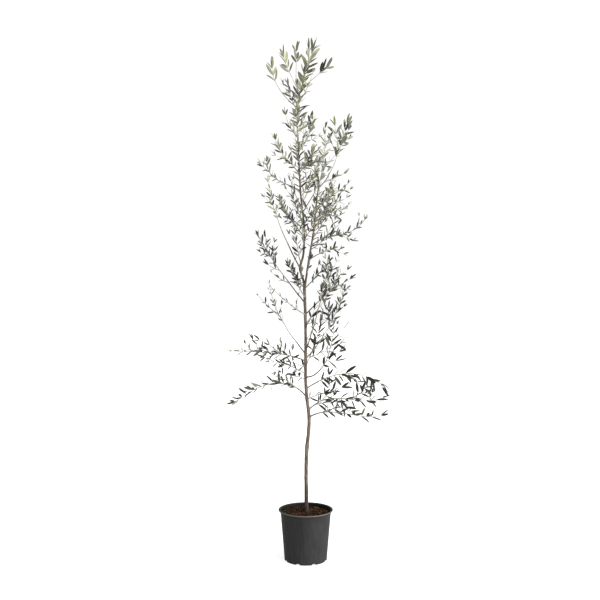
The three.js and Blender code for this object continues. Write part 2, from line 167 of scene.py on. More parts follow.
@dataclass
class Surface:
    """Closed shapes as arrays in millimetres: each face has a finish number and each vertex a tone."""

    vertices: np.ndarray
    quads: np.ndarray
    triangles: np.ndarray
    quad_finish: np.ndarray | None = None
    triangle_finish: np.ndarray | None = None
    tone: np.ndarray | None = None
    uv: np.ndarray | None = None

    def __post_init__(self) -> None:
        """Give whatever was left out its plain value."""
        count = len(self.vertices)
        if self.quad_finish is None:
            self.quad_finish = np.zeros(len(self.quads), int)
        if self.triangle_finish is None:
            self.triangle_finish = np.zeros(len(self.triangles), int)
        if self.tone is None:
            self.tone = np.full(count, 0.5)
        if self.uv is None:
            self.uv = np.zeros((count, 2))

    @staticmethod
    def joined(surfaces: Sequence["Surface"]) -> "Surface":
        """Put surfaces side by side in one.

        Args:
            surfaces: The surfaces, in order.

        Returns:
            One surface, in which the vertex numbers of the faces are moved on past the surfaces before.
        """
        starts = np.cumsum([0] + [len(s.vertices) for s in surfaces])[:-1]
        whole = {}
        for part in fields(Surface):
            moves = starts if part.name in ("quads", "triangles") else np.zeros(len(surfaces), int)
            whole[part.name] = np.concatenate([getattr(s, part.name) + n for s, n in zip(surfaces, moves)])
        return Surface(**whole)

    def volume(self) -> float:
        """The sum of a . (b x c) / 6 over the triangles, which is positive where the faces point outwards.

        Returns:
            The volume in cubic millimetres.
        """
        fans = [self.triangles, self.quads[:, [0, 1, 2]], self.quads[:, [0, 2, 3]]]
        a, b, c = (self.vertices[np.concatenate(fans)[:, k]] for k in range(3))
        return float(np.sum(a * np.cross(b, c)) / 6)

    def piece(
        self, name: str, materials: Sequence[bpy.types.Material], crease: float = 50.0
    ) -> bpy.types.Object:
        """Make the mesh object, with its faces outwards, and let it ride on the row's body.

        Args:
            name: The piece's name.
            materials: Its finishes, in the order of the faces' finish numbers.
            crease: The angle in degrees past which an edge is drawn sharp.

        Returns:
            The new object, at the origin.
        """
        turn = -1 if self.volume() < 0 else 1
        faces = self.quads[:, ::turn].tolist() + self.triangles[:, ::turn].tolist()
        mesh = bpy.data.meshes.new(name)
        mesh.from_pydata((self.vertices * MM).tolist(), [], faces)
        finish = np.concatenate([self.quad_finish, self.triangle_finish]).astype(np.int32)
        mesh.polygons.foreach_set("material_index", finish)
        corners = np.empty(len(mesh.loops), np.int32)
        mesh.loops.foreach_get("vertex_index", corners)
        mesh.uv_layers.new(name=LEAF_UV).data.foreach_set("uv", self.uv[corners].astype(np.float32).ravel())
        mesh.attributes.new(TONE, "FLOAT", "POINT").data.foreach_set("value", self.tone.astype(np.float32))
        for material in materials:
            mesh.materials.append(material)
        mesh.shade_smooth()
        mesh.set_sharp_from_angle(angle=math.radians(crease))
        mesh.validate()
        piece = bpy.data.objects.new(name, mesh)
        bpy.context.scene.collection.objects.link(piece)
        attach(piece, BODY)
        log.info("%s: %d faces", name, len(faces))
        return piece


def ring_quads(rings: int, sides: int) -> np.ndarray:
    """The faces between each ring of points and the next: (i, k), (i, k + 1), (i + 1, k + 1), (i + 1, k).

    Args:
        rings: How many rings there are.
        sides: How many points each ring has.

    Returns:
        Vertex numbers of shape (faces, 4), ring by ring, for points that are numbered ring by ring.
    """
    i, k = (a.ravel() for a in np.meshgrid(np.arange(rings - 1), np.arange(sides), indexing="ij"))
    after = (k + 1) % sides
    return np.stack([i * sides + k, i * sides + after, (i + 1) * sides + after, (i + 1) * sides + k], -1)


def tube(rings: np.ndarray, tone: Numbers = 0.5) -> Surface:
    """A closed skin over rings of points, with a fan of triangles on each end.

    Args:
        rings: Points of shape (rings, sides, 3), each ring in the same order round.
        tone: The tone of the whole tube, or of each ring.

    Returns:
        The surface, whose uv runs along and round the tube. Its last two vertices are the ends' middles.
    """
    count, sides = rings.shape[:2]
    k = np.arange(sides)
    after = (k + 1) % sides
    last = (count - 1) * sides
    low_end, high_end = count * sides, count * sides + 1
    low = np.stack([np.full(sides, low_end), after, k], -1)
    high = np.stack([np.full(sides, high_end), last + k, last + after], -1)
    vertices = np.concatenate([rings.reshape(-1, 3), rings[[0, -1]].mean(axis=1)])
    shades = np.broadcast_to(np.asarray(tone, float), (count,))
    tones = np.concatenate([np.repeat(shades, sides), shades[[0, -1]]])
    uv = np.stack([np.repeat(np.linspace(0, 1, count), sides), np.tile(k / sides, count)], -1)
    uv = np.concatenate([uv, [[0, 0.5], [1, 0.5]]])
    return Surface(vertices, ring_quads(count, sides), np.concatenate([low, high]), tone=tones, uv=uv)


def lathe(
    profile: np.ndarray,
    sides: int,
    lift: Callable[[np.ndarray, np.ndarray, np.ndarray], np.ndarray],
    tone: Numbers = 0.5,
) -> Surface:
    """A profile turned about the upright axis: (r cos t, r sin t, z + lift(t, r, z)).

    Args:
        profile: Radii and heights of shape (n, 2) that run from the axis round to the axis.
        sides: How many steps the turn has.
        lift: What is added to the height at an angle, a radius and a height.
        tone: The tone of the whole skin, or of each ring but the two on the axis.

    Returns:
        The closed surface.
    """
    ring = profile[1:-1]
    angle = np.broadcast_to(angles_round(sides), (len(ring), sides))
    radius, height = ring[:, :1] + 0 * angle, ring[:, 1:] + 0 * angle
    raised = height + lift(angle, radius, height)
    skin = tube(np.stack([radius * np.cos(angle), radius * np.sin(angle), raised], -1), tone)
    skin.vertices[-2:] = [[0, 0, profile[0, 1]], [0, 0, profile[-1, 1]]]
    return skin


# ---- The plant's rule ----


class Habit(NamedTuple):
    """How far apart a shoot's pairs of leaves and its twigs are, and its tip leaves' share of size."""

    pairs: float
    twigs: float
    tip_size: float


class Vigour(Enum):
    """How a shoot thrives. A distance between twigs that is longer than the shoot leaves it without any."""

    BARE = Habit(34.0, 150.0, 0.5)
    WISPY = Habit(15.0, 46.0, 0.5)
    OPEN = Habit(26.0, 92.0, 0.75)
    FULL = Habit(21.0, 62.0, 0.9)
    DENSE = Habit(16.5, 44.0, 0.9)
    BUSHY = Habit(15.0, 27.0, 0.95)
    TUFT = Habit(11.0, 17.0, 1.0)
    PLAIN = Habit(15.0, 1000.0, 0.95)
    SPARSE = Habit(25.0, 1000.0, 0.95)
    WAND = Habit(9.0, 1000.0, 1.0)


class Age(Enum):
    """The kinds of leaf, from the oldest to the youngest."""

    # The oldest kind is painted near black, partly for its age and partly as painted shade of the low crown.
    MATURE = "mature"
    SUMMER = "summer"
    YOUNG = "young"


@dataclass(frozen=True)
class Bow:
    """A bend that pushes a stem aside by (x, y), falling off as exp(-((z - height) / spread)^2)."""

    height: float
    spread: float
    x: float
    y: float


@dataclass(frozen=True)
class Stem:
    """A main stem: a line from foot to head pushed aside by its bows, measured by height. Sizes in mm.

    Its skin starts a little lower, sunk in what it grows from, and may have a flare and a buttress there.
    """

    name: str
    foot: Triple
    head: Triple
    foot_radius: float
    head_radius: float
    bows: tuple[Bow, ...]
    sunk: float = 0.0
    flare: float = 0.0
    buttress: float = 0.0

    FLARE_HEIGHT = 16.0

    def share(self, height: np.ndarray) -> np.ndarray:
        """How far up the stem a height is, from 0 to 1."""
        return (np.asarray(height, float) - self.foot[2]) / (self.head[2] - self.foot[2])

    def point(self, height: Numbers) -> np.ndarray:
        """The centre line: foot (1 - s) + head s at a share s, and the push of each bow.

        Args:
            height: One height or more, in millimetres.

        Returns:
            A point for each height.
        """
        height = np.asarray(height, float)
        s = self.share(height)[..., None]
        place = np.array(self.foot) * (1 - s) + np.array(self.head) * s
        place[..., 2] = height
        for bow in self.bows:
            push = np.exp(-(((height - bow.height) / bow.spread) ** 2))
            place[..., 0] += bow.x * push
            place[..., 1] += bow.y * push
        return place

    def radius(self, height: Numbers) -> np.ndarray:
        """The radius: a straight taper with a flare of exp(-(z - foot) / flare height) at its foot.

        Args:
            height: One height or more, in millimetres.

        Returns:
            A radius for each height.
        """
        height = np.asarray(height, float)
        taper = self.foot_radius + (self.head_radius - self.foot_radius) * self.share(height)
        return taper + self.flare * np.exp(-np.maximum(height - self.foot[2], 0) / self.FLARE_HEIGHT)


SOIL_TOP = 180.0
FORK = 1060.0

STEMS = (
    Stem(
        "trunk", (3, 0, SOIL_TOP), (-5, 0, FORK), 7.4, 5.2, (Bow(530, 95, 13, -3), Bow(860, 160, 3, 5)),
        sunk=4.0, flare=2.2, buttress=1.6,
    ),
    Stem(
        "leader_left", (-5, 0, FORK), (-31, 24, 1640), 4.6, 2.3,
        (Bow(1118, 38, -14, 0), Bow(1275, 90, 9, -4)),
        sunk=11.0,
    ),
    Stem("leader_right", (-6, 0, 1024), (51, -26, 1445), 4.2, 2.3, (Bow(1260, 80, 4, 2),)),
)


class Limb(Protocol):
    """What leaves stand on: a centre line with a number of its own, and a level direction square to it."""

    number: int
    length: float
    side: np.ndarray

    def point(self, distance: Numbers) -> np.ndarray:
        """The centre line, in millimetres, at a distance from the foot."""

    def along(self, distance: Numbers) -> np.ndarray:
        """The unit direction of growth at a distance."""


def axes_on(limb: Limb, distance: np.ndarray) -> tuple[np.ndarray, np.ndarray, np.ndarray]:
    """Three directions square to each other at distances along a limb.

    Args:
        limb: The limb.
        distance: Distances from its foot, in millimetres.

    Returns:
        Unit vectors along the limb, level across it, and above, which is along x across.
    """
    along = limb.along(distance)
    side = np.broadcast_to(limb.side, along.shape)
    return along, side, np.cross(along, side)


@dataclass
class Shoot:
    """A leafy shoot. It leaves its parent at an azimuth, and its rise is the parabola through three angles.

    Sizes are in millimetres and angles in degrees. Along the way it wavers from side to side. Its freshness
    says how young its leaves are, leaf is their share of the full size, and lift is how much more than the
    rule they turn up to the light, or how far they hang where it is below 0.
    """

    name: str
    parent: str
    at: float
    azimuth: float
    length: float
    rise: Triple
    bare: float
    vigour: Vigour = Vigour.FULL
    freshness: float = 0.0
    leafy_from: float = 0.0
    leaf: float = 1.0
    lift: float = 0.0
    number: int = field(init=False)
    widest: float = field(init=False)
    side: np.ndarray = field(init=False)
    marks: np.ndarray = field(init=False)
    line: np.ndarray = field(init=False)

    STEPS = 48
    SEAT = 0.97
    FOOT_RADIUS = 1.9
    FOOT_GROWTH = 0.0025
    TIP_RADIUS = 0.8
    WAVER = 1.2
    WAVER_FROM = 70.0
    WAVE_LENGTH = 105.0

    def grow(self, number: int, parent: "Stem | Shoot") -> None:
        """Work out the centre line: the sum of short strides along the direction of growth, and a waver.

        The waver is side (sin p - sin p0) with a phase p that makes a turn in a wave's length, and fades in.

        Args:
            number: The shoot's own number, from which its scattered values are drawn.
            parent: What it grows on.
        """
        self.number = number
        self.widest = float(parent.radius(self.at)) * self.SEAT
        self.side = heading(self.azimuth + 90, 0)
        self.marks = np.linspace(0, self.length, self.STEPS + 1)
        middles = (np.arange(self.STEPS) + 0.5) / self.STEPS * self.length
        strides = self.along(middles) * self.length / self.STEPS
        line = parent.point(self.at) + np.concatenate([np.zeros((1, 3)), np.cumsum(strides, axis=0)])
        phase = 2 * np.pi * (self.marks / self.WAVE_LENGTH + scatter(number, 3))
        reach = soft_step(0, self.WAVER_FROM, self.marks) * self.WAVER
        self.line = line + ((np.sin(phase) - np.sin(phase[0])) * reach)[:, None] * self.side

    def along(self, distance: Numbers) -> np.ndarray:
        """The direction of growth: the rise is e0 (1-s)(1-2s) + 4 e1 s (1-s) + e2 s (2s-1) at a share s.

        Args:
            distance: Distances from the foot, in millimetres.

        Returns:
            A unit vector for each.
        """
        s = np.asarray(distance, float) / self.length
        start, middle, end = self.rise
        rise = start * (1 - s) * (1 - 2 * s) + middle * 4 * s * (1 - s) + end * s * (2 * s - 1)
        return heading(self.azimuth, rise)

    def point(self, distance: Numbers) -> np.ndarray:
        """The centre line, in millimetres, at a distance from the foot."""
        return np.stack([np.interp(distance, self.marks, self.line[:, k]) for k in range(3)], -1)

    def radius(self, distance: Numbers) -> np.ndarray:
        """The radius: a taper from foot to tip, never wider than what it grows on."""
        foot = min(self.FOOT_RADIUS + self.FOOT_GROWTH * self.length, self.widest)
        return foot + (self.TIP_RADIUS - foot) * np.asarray(distance, float) / self.length


@dataclass
class Twig:
    """A short side twig: straight at first, then lifting towards the light. Sizes in millimetres.

    Its share says how far along its shoot it stands, from 0 to 1.
    """

    number: int
    foot: np.ndarray
    direction: np.ndarray
    length: float
    foot_radius: float
    share: float

    LIFT = 0.12
    TIP_SHARE = 0.62

    @property
    def side(self) -> np.ndarray:
        """The level direction square to the twig."""
        return unit(np.cross(UP, self.direction))

    def point(self, distance: Numbers) -> np.ndarray:
        """The centre line: foot + direction d + up LIFT d^2 / length."""
        d = np.asarray(distance, float)[..., None]
        return self.foot + self.direction * d + UP * self.LIFT * d * d / self.length

    def along(self, distance: Numbers) -> np.ndarray:
        """The unit tangent of the centre line."""
        d = np.asarray(distance, float)[..., None]
        return unit(self.direction + UP * 2 * self.LIFT * d / self.length)

    def radius(self, distance: Numbers) -> np.ndarray:
        """A straight taper."""
        return self.foot_radius * (1 - (1 - self.TIP_SHARE) * np.asarray(distance, float) / self.length)


@dataclass
class LeafyStem:
    """The upper part of a main stem, where leaves stand on the stem itself. Sizes in millimetres."""

    stem: Stem
    start: float
    number: int

    @property
    def length(self) -> float:
        """How long the leafy part is."""
        return self.stem.head[2] - self.start

    @property
    def side(self) -> np.ndarray:
        """A level direction square to an upright stem."""
        return np.array([0.0, 1.0, 0.0])

    def point(self, distance: Numbers) -> np.ndarray:
        """The stem is thin there, so leaves root on its centre line."""
        return self.stem.point(self.start + np.asarray(distance, float))

    def along(self, distance: Numbers) -> np.ndarray:
        """The unit tangent, from two points a millimetre each way."""
        distance = np.asarray(distance, float)
        return unit(self.point(distance + 1) - self.point(distance - 1))


BARE, WISPY, OPEN, FULL, DENSE, BUSHY, TUFT, PLAIN, SPARSE, WAND = Vigour

# Each shoot's name, limb, place on it, azimuth, length, rise, bare length, vigour, freshness and where
# its leaves start, if that is past its bare length, then its leaves' size and lift where they are its own.
# Its place in this list is its number, from which its scattered values are drawn.
SHOOTS = [
    Shoot("low_right_1", "trunk", 545, -31, 312, (34, -4, 16), 58, SPARSE, 0.0, leaf=0.8, lift=0.3),
    Shoot("low_right_2", "trunk", 572, 24, 340, (48, -8, 18), 51, FULL, -0.6, leaf=0.92, lift=-0.2),
    Shoot("low_right_2_spur", "low_right_2", 64, 14, 98, (45, 35, 6), 13, FULL, -0.7),
    Shoot("low_right_3", "trunk", 655, 6, 325, (34, 4, -46), 55, SPARSE, -0.8, 60, leaf=1.02, lift=-0.6),
    Shoot("low_right_4", "trunk", 700, -50, 330, (2, 62, 88), 105, OPEN, -0.6),
    Shoot("low_right_5", "trunk", 741, 70, 259, (27, 42, 51), 45, PLAIN, -0.5),
    Shoot("low_right_6", "trunk", 770, 40, 333, (38, 52, 64), 93, FULL, 0.0, 170),
    Shoot("low_right_6_spur", "low_right_6", 105, 12, 90, (36, 42, 52), 14, BARE, -0.5, leaf=0.9),
    Shoot("low_right_7", "trunk", 802, -61, 376, (52, 64, 66), 125, FULL, -0.2, 218),
    Shoot("low_right_8", "trunk", 940, -20, 225, (45, 38, 25), 58, FULL, 0.1, 108),
    Shoot("low_right_9", "trunk", 905, 42, 245, (36, 46, 48), 48, FULL, 0.0, 132),
    Shoot("low_right_10", "leader_right", 1040, -58, 200, (30, 30, 34), 43, OPEN, -0.2),
    Shoot("low_left_1", "trunk", 620, 161, 337, (55, -12, -36), 51, PLAIN, 0.3, leaf=0.88, lift=0.35),
    Shoot("low_left_1_spur", "low_left_1", 64, 226, 109, (37, 26, 17), 18, BARE, -0.5, leaf=0.8),
    Shoot("low_left_2", "trunk", 712, 222, 190, (30, 17, 5), 44, WISPY, -0.5, leaf=0.9),
    Shoot("low_left_3", "trunk", 762, 202, 302, (24, 6, 4), 58, WISPY, 0.2),
    Shoot("low_left_3_spur", "low_left_3", 110, 190, 95, (45, 35, 20), 12, SPARSE, -0.1, leaf=0.75),
    Shoot("low_left_4", "trunk", 788, 139, 342, (42, 52, 80), 67, BARE, 0.3, 175),
    Shoot("low_left_4_spur", "low_left_4", 196, 190, 122, (40, 44, 50), 18, BARE, 0.0, leaf=0.8),
    Shoot("low_left_5", "trunk", 940, 227, 215, (22, 30, 34), 38, BARE, -0.3, leaf=0.7),
    Shoot("low_left_6", "trunk", 985, 149, 345, (48, 50, 59), 127, FULL, -0.9, 205),
    Shoot("low_left_6_spur", "low_left_6", 215, 190, 80, (55, 50, 55), 17, SPARSE, -0.5, leaf=0.8),
    Shoot("low_left_7", "trunk", 1005, 244, 186, (40, 43, 46), 32, DENSE, -0.5, leaf=0.9),
    Shoot("high_right_1", "leader_right", 1205, -34, 257, (39, 7, 57), 43, OPEN),
    Shoot("high_right_2", "leader_right", 1265, 46, 210, (46, 59, 66), 24, BUSHY, 0.2),
    Shoot("high_right_2_spur", "high_right_2", 60, -8, 103, (39, 49, 63), 11, FULL, 0.2),
    Shoot("high_right_3", "leader_right", 1300, 48, 190, (35, 15, 18), 45, FULL),
    Shoot("high_right_4", "leader_right", 1352, -47, 181, (23, 23, 27), 40, OPEN),
    Shoot("high_right_5", "leader_right", 1425, 48, 305, (34, 61, 70), 103, FULL, 0.1, 172, leaf=1.22),
    Shoot("high_right_5_spur", "high_right_5", 205, 8, 90, (50, 65, 75), 12, FULL, 0.0),
    Shoot("high_right_6", "leader_right", 1436, -62, 215, (60, 78, 88), 40, OPEN, -0.1, 60),
    Shoot("high_right_7", "leader_right", 1150, -48, 175, (25, 12, -5), 30, OPEN, 0.1, 60),
    Shoot("high_right_8", "leader_right", 1230, 60, 175, (35, 45, 50), 30, FULL, 0.0, 60),
    Shoot("middle_1", "leader_left", 1335, -55, 192, (38, 46, 58), 32, FULL, 0.0, 110),
    Shoot("middle_2", "leader_left", 1372, 52, 198, (43, 58, 68), 30, PLAIN, 0.1, 70, leaf=0.9),
    Shoot("middle_3", "leader_left", 1490, -50, 105, (35, 40, 50), 15, TUFT, 0.4),
    Shoot("middle_4", "leader_left", 1575, 40, 152, (38, 63, 84), 23, BUSHY, 0.0, leaf=0.9),
    Shoot("middle_5", "leader_left", 1432, 35, 140, (35, 36, 45), 25, BARE, 0.0, leaf=0.8),
    Shoot("middle_6", "leader_left", 1530, -105, 115, (48, 60, 70), 20, OPEN, 0.0, leaf=0.85),
    Shoot("high_left_1", "leader_left", 1626, 203, 100, (45, 58, 76), 17, FULL, 0.4, leaf=0.95),
    Shoot("high_left_2", "leader_left", 1486, 217, 165, (44, 40, 65), 23, DENSE, 0.0),
    Shoot("high_left_3", "leader_left", 1418, 151, 210, (36, 28, 92), 55, PLAIN, 0.0, 75, leaf=0.88),
    Shoot("high_left_3_spur", "high_left_3", 165, 225, 52, (25, 30, 30), 8, FULL, 0.0, leaf=0.95),
    Shoot("high_left_4", "leader_left", 1118, 200, 353, (61, 67, 82), 111, FULL, 0.0, 215),
    Shoot("high_left_5", "leader_left", 1240, 141, 205, (43, 52, 56), 28, DENSE, -0.1),
    Shoot("high_left_6", "leader_left", 1290, 236, 126, (44, 53, 59), 23, DENSE),
    Shoot("high_left_7", "leader_left", 1200, 262, 145, (50, 60, 68), 25),
    Shoot("high_left_8", "leader_left", 1352, 128, 150, (48, 58, 66), 25, OPEN, 0.0, 70),
    Shoot("high_left_9", "leader_left", 1138, 235, 132, (60, 72, 78), 25, DENSE),
    Shoot("top", "leader_left", 1640, 0, 340, (96, 78, 68), 0, WAND, 0.5),
    Shoot("top_spur_1", "top", 102, 161, 200, (40, 54, 86), 25, FULL, -0.1, 145, leaf=1.2),
    Shoot("top_spur_2", "top", 140, 150, 182, (74, 88, 92), 20, FULL, -0.3, 138, leaf=1.12),
    Shoot("top_spur_3", "top", 162, 214, 143, (51, 58, 71), 21, DENSE, -0.5, 90, leaf=1.2),
    Shoot("top_spur_4", "top", 172, -31, 130, (41, 29, 32), 24, TUFT, -0.9, 95, leaf=1.1),
    Shoot("top_spur_5", "top", 92, 205, 95, (50, 66, 75), 15, BUSHY, -0.5, leaf=0.95),
    Shoot("top_spur_6", "top", 122, -40, 130, (38, 56, 70), 15, BARE, 0.4, 40, leaf=0.85),
    # Finer shoots, which the solids leave to the masses of their limbs.
    Shoot("low_right_11", "trunk", 838, -30, 62, (52, 62, 74), 8, SPARSE, -1.2, leaf=1.05),
    Shoot("low_right_12", "trunk", 893, -38, 78, (48, 58, 70), 8, SPARSE, -1.2, leaf=1.05),
    Shoot("low_right_3_spur", "low_right_3", 176, -15, 82, (-44, -42, -32), 6, PLAIN, -0.9),
    Shoot("low_right_4_spur", "low_right_4", 285, 150, 80, (55, 60, 70), 8, DENSE, -0.4, leaf=1.1),
    Shoot("low_right_6_spur_2", "low_right_6", 212, 165, 70, (60, 62, 66), 8, DENSE, -0.2, leaf=1.1),
    Shoot("low_right_6_spur_3", "low_right_6", 262, -60, 80, (55, 60, 66), 8, OPEN, 0.0),
    Shoot("low_right_7_spur", "low_right_7", 300, 20, 88, (45, 58, 68), 8, OPEN),
    Shoot("low_left_6_spur_2", "low_left_6", 225, 60, 72, (72, 82, 90), 6, OPEN, -0.8),
    Shoot("high_right_1_spur", "high_right_1", 50, -30, 96, (20, 10, -5), 12, OPEN),
    Shoot("high_right_2_spur_2", "high_right_2", 105, 165, 86, (66, 74, 80), 8, FULL, 0.2),
    Shoot("high_right_3_spur", "high_right_3", 70, -40, 66, (-12, -10, 0), 8, DENSE, 0.1),
    Shoot("high_right_5_spur_2", "high_right_5", 215, 150, 92, (72, 78, 84), 14, FULL, 0.1, leaf=1.15),
    Shoot("high_right_5_spur_3", "high_right_5", 40, -10, 82, (25, 22, 22), 10),
    Shoot("high_right_9", "leader_right", 1190, -45, 62, (20, 25, 30), 10, BUSHY, 0.2),
    Shoot("high_right_10", "leader_right", 1300, 165, 64, (48, 58, 66), 8, PLAIN, 0.1),
    Shoot("middle_7", "leader_left", 1290, -30, 82, (42, 54, 60), 8, SPARSE, 0.1),
    Shoot("middle_8", "leader_left", 1235, 35, 78, (42, 52, 60), 8, SPARSE),
    Shoot("middle_9", "leader_left", 1505, -20, 66, (14, 20, 30), 8, TUFT, 0.5),
    Shoot("high_left_5_spur", "high_left_5", 60, 195, 72, (48, 50, 55), 8, BUSHY, -0.1),
    Shoot("top_spur_7", "top", 10, -20, 46, (54, 60, 66), 6, PLAIN, 0.1),
    Shoot("low_left_6_spur_5", "low_left_6", 172, 175, 48, (15, 25, 40), 6, SPARSE, -0.9),
    Shoot("low_right_8_spur", "low_right_8", 108, 0, 62, (75, 82, 86), 6, PLAIN, -0.3),
    Shoot("low_right_3_spur_3", "low_right_3", 255, -10, 55, (-40, -25, -10), 6, SPARSE, -0.9, lift=-0.5),
    Shoot("high_right_13", "leader_right", 1345, -10, 76, (40, 50, 60), 8, SPARSE),
    Shoot("low_left_11", "low_left_2", 40, 240, 60, (0, -10, -20), 6, SPARSE, -0.9, leaf=0.85),
    Shoot("low_right_4_spur_4", "low_right_4", 140, -10, 34, (0, 0, 0), 4, SPARSE, -1.0),
    Shoot("low_left_3_spur_2", "low_left_3", 100, 200, 60, (40, 15, 0), 6, SPARSE, -0.5),
    Shoot("low_right_1_spur", "low_right_1", 62, -10, 92, (24, 14, 0), 8, DENSE, -0.3),
    Shoot("low_left_6_spur_4", "low_left_6", 105, 185, 80, (20, 30, 45), 8, BARE, -0.4, leaf=0.85),
    Shoot("low_right_5_spur", "low_right_5", 60, 0, 72, (20, 25, 30), 8, PLAIN, -0.9),
    Shoot("high_right_12", "leader_right", 1240, 10, 72, (45, 50, 55), 8, SPARSE),
    Shoot("middle_12", "leader_left", 1450, -10, 70, (20, 30, 40), 6, DENSE, 0.3),
    Shoot("low_left_6_spur_3", "low_left_6", 262, 165, 62, (72, 80, 86), 6, DENSE, -0.9, leaf=1.05),
    Shoot("low_right_2_spur_2", "low_right_2", 195, -10, 66, (38, 28, 10), 6, PLAIN, -0.9),
    Shoot("low_right_3_spur_2", "low_right_3", 120, 20, 56, (15, 0, -15), 8, SPARSE, -0.9, lift=-0.2),
    Shoot("low_right_14", "low_right_2", 30, -20, 90, (20, 10, 0), 6, SPARSE, -0.9),
    Shoot("low_left_10", "trunk", 690, 215, 52, (30, 20, 10), 8, PLAIN, -0.8, leaf=0.9),
    Shoot("high_right_11", "leader_right", 1100, -60, 56, (55, 62, 70), 8, SPARSE, -0.3),
    Shoot("high_right_5_spur_4", "high_right_5", 258, 20, 62, (60, 70, 75), 8, PLAIN, 0.1, leaf=1.25),
    Shoot("low_right_4_spur_3", "low_right_4", 182, -10, 36, (0, 0, 0), 4, PLAIN, -1.0, leaf=0.95),
    Shoot("low_left_9", "trunk", 735, 200, 72, (30, 20, 10), 8, BARE, -0.9, leaf=0.75),
    Shoot("middle_11", "leader_left", 1398, -20, 72, (45, 55, 62), 8, DENSE, 0.1),
    Shoot("high_right_6_spur", "high_right_6", 60, -20, 75, (45, 45, 50), 8, OPEN),
    Shoot("low_right_13", "trunk", 615, -35, 85, (25, 20, 10), 8, SPARSE, -0.9, leaf=0.9),
    Shoot("low_left_8", "trunk", 1040, 200, 72, (50, 60, 66), 8, PLAIN, -1.0, leaf=1.05),
    Shoot("low_right_4_spur_2", "low_right_4", 212, -12, 30, (0, 0, 5), 4, SPARSE, -1.0),
    Shoot("low_right_9_spur", "low_right_9", 175, -35, 92, (56, 62, 70), 8, FULL, -0.1),
    Shoot("top_spur_8", "top", 268, 10, 62, (80, 84, 86), 6, DENSE, -0.8, leaf=1.12),
    Shoot("middle_10", "leader_left", 1520, 10, 80, (5, 15, 30), 8, BUSHY, 0.4),
]


# ---- Finishes ----


def linear(colour: str) -> tuple[float, float, float, float]:
    """An sRGB hex colour as linear light: c / 12.92 where it is dark, else ((c + 0.055) / 1.055)^2.4.

    Args:
        colour: The colour, such as "#6a6157".

    Returns:
        Red, green, blue and alpha.
    """
    parts = [int(colour[i : i + 2], 16) / 255 for i in (1, 3, 5)]
    red, green, blue = (c / 12.92 if c <= 0.04045 else ((c + 0.055) / 1.055) ** 2.4 for c in parts)
    return red, green, blue, 1.0


def add(
    tree: bpy.types.NodeTree, kind: str, inputs: dict | None = None, **settings: object
) -> bpy.types.Node:
    """Add a shader node.

    Args:
        tree: The material's node tree.
        kind: The node's type name.
        inputs: Values, hex colours or other nodes' outputs, by the name or number of the socket they go to.
        settings: The node's own settings.

    Returns:
        The new node.
    """
    node = tree.nodes.new(kind)
    for name, value in settings.items():
        setattr(node, name, value)
    for socket, value in (inputs or {}).items():
        if isinstance(value, bpy.types.NodeSocket):
            tree.links.new(value, node.inputs[socket])
        else:
            node.inputs[socket].default_value = linear(value) if isinstance(value, str) else value
    return node


def per_mm(size: float) -> float:
    """The scale of a pattern on metre coordinates whose grain is a size in millimetres."""
    return 1.0 / (size * MM)


@dataclass(frozen=True)
class Finish:
    """What every finish shares: a name, a Principled surface and how its patterns and relief are made."""

    name: str

    def start(
        self, roughness: float, ior: float
    ) -> tuple[bpy.types.Material, bpy.types.NodeTree, bpy.types.Node]:
        """Make the material.

        Args:
            roughness: The surface's roughness.
            ior: Its index of refraction.

        Returns:
            The material, its node tree and its Principled surface.
        """
        material = bpy.data.materials.new(self.name)
        material.use_nodes = True
        surface = material.node_tree.nodes["Principled BSDF"]
        surface.inputs["Roughness"].default_value = roughness
        surface.inputs["IOR"].default_value = ior
        return material, material.node_tree, surface

    def noise(
        self, tree: bpy.types.NodeTree, size: float, stretch: Triple = (1, 1, 1), detail: float = 3.0
    ) -> bpy.types.NodeSocket:
        """Cloudy noise on Object coordinates.

        Args:
            tree: The material's node tree.
            size: The size of its grain in millimetres.
            stretch: How many times as long the grain is along each axis.
            detail: How many finer layers it has.

        Returns:
            The noise, from 0 to 1.
        """
        place = add(tree, "ShaderNodeTexCoord").outputs["Object"]
        scale = [1 / s for s in stretch]
        scaled = add(tree, "ShaderNodeMapping", {"Vector": place, "Scale": scale}).outputs[0]
        inputs = {"Vector": scaled, "Scale": per_mm(size), "Detail": detail, "Roughness": 0.6}
        return add(tree, "ShaderNodeTexNoise", inputs).outputs["Fac"]

    def blend(
        self, tree: bpy.types.NodeTree, share: bpy.types.NodeSocket, low: float, high: float,
        dark: str | bpy.types.NodeSocket, light: str | bpy.types.NodeSocket,
    ) -> bpy.types.NodeSocket:
        """A colour that runs from dark to light as a share runs from low to high.

        Args:
            tree: The material's node tree.
            share: The share.
            low: Where the colour is all dark.
            high: Where it is all light.
            dark: A hex colour, or a colour that varies.
            light: The same.

        Returns:
            The blended colour.
        """
        ramp = add(tree, "ShaderNodeMapRange", {"Value": share, "From Min": low, "From Max": high}).outputs[0]
        return add(tree, "ShaderNodeMix", {"Factor": ramp, 6: dark, 7: light}, data_type="RGBA").outputs[2]

    def dress(
        self, tree: bpy.types.NodeTree, surface: bpy.types.Node, colour: bpy.types.NodeSocket,
        height: bpy.types.NodeSocket, depth: float, strength: float = 1.0,
    ) -> None:
        """Give the surface its colour and its relief.

        Args:
            tree: The material's node tree.
            surface: Its Principled surface.
            colour: The colour.
            height: The relief, from 0 to 1.
            depth: How deep the relief is, in millimetres.
            strength: How strongly it tilts the light.
        """
        tree.links.new(colour, surface.inputs["Base Color"])
        relief = add(tree, "ShaderNodeBump", {"Height": height, "Distance": depth * MM, "Strength": strength})
        tree.links.new(relief.outputs[0], surface.inputs["Normal"])


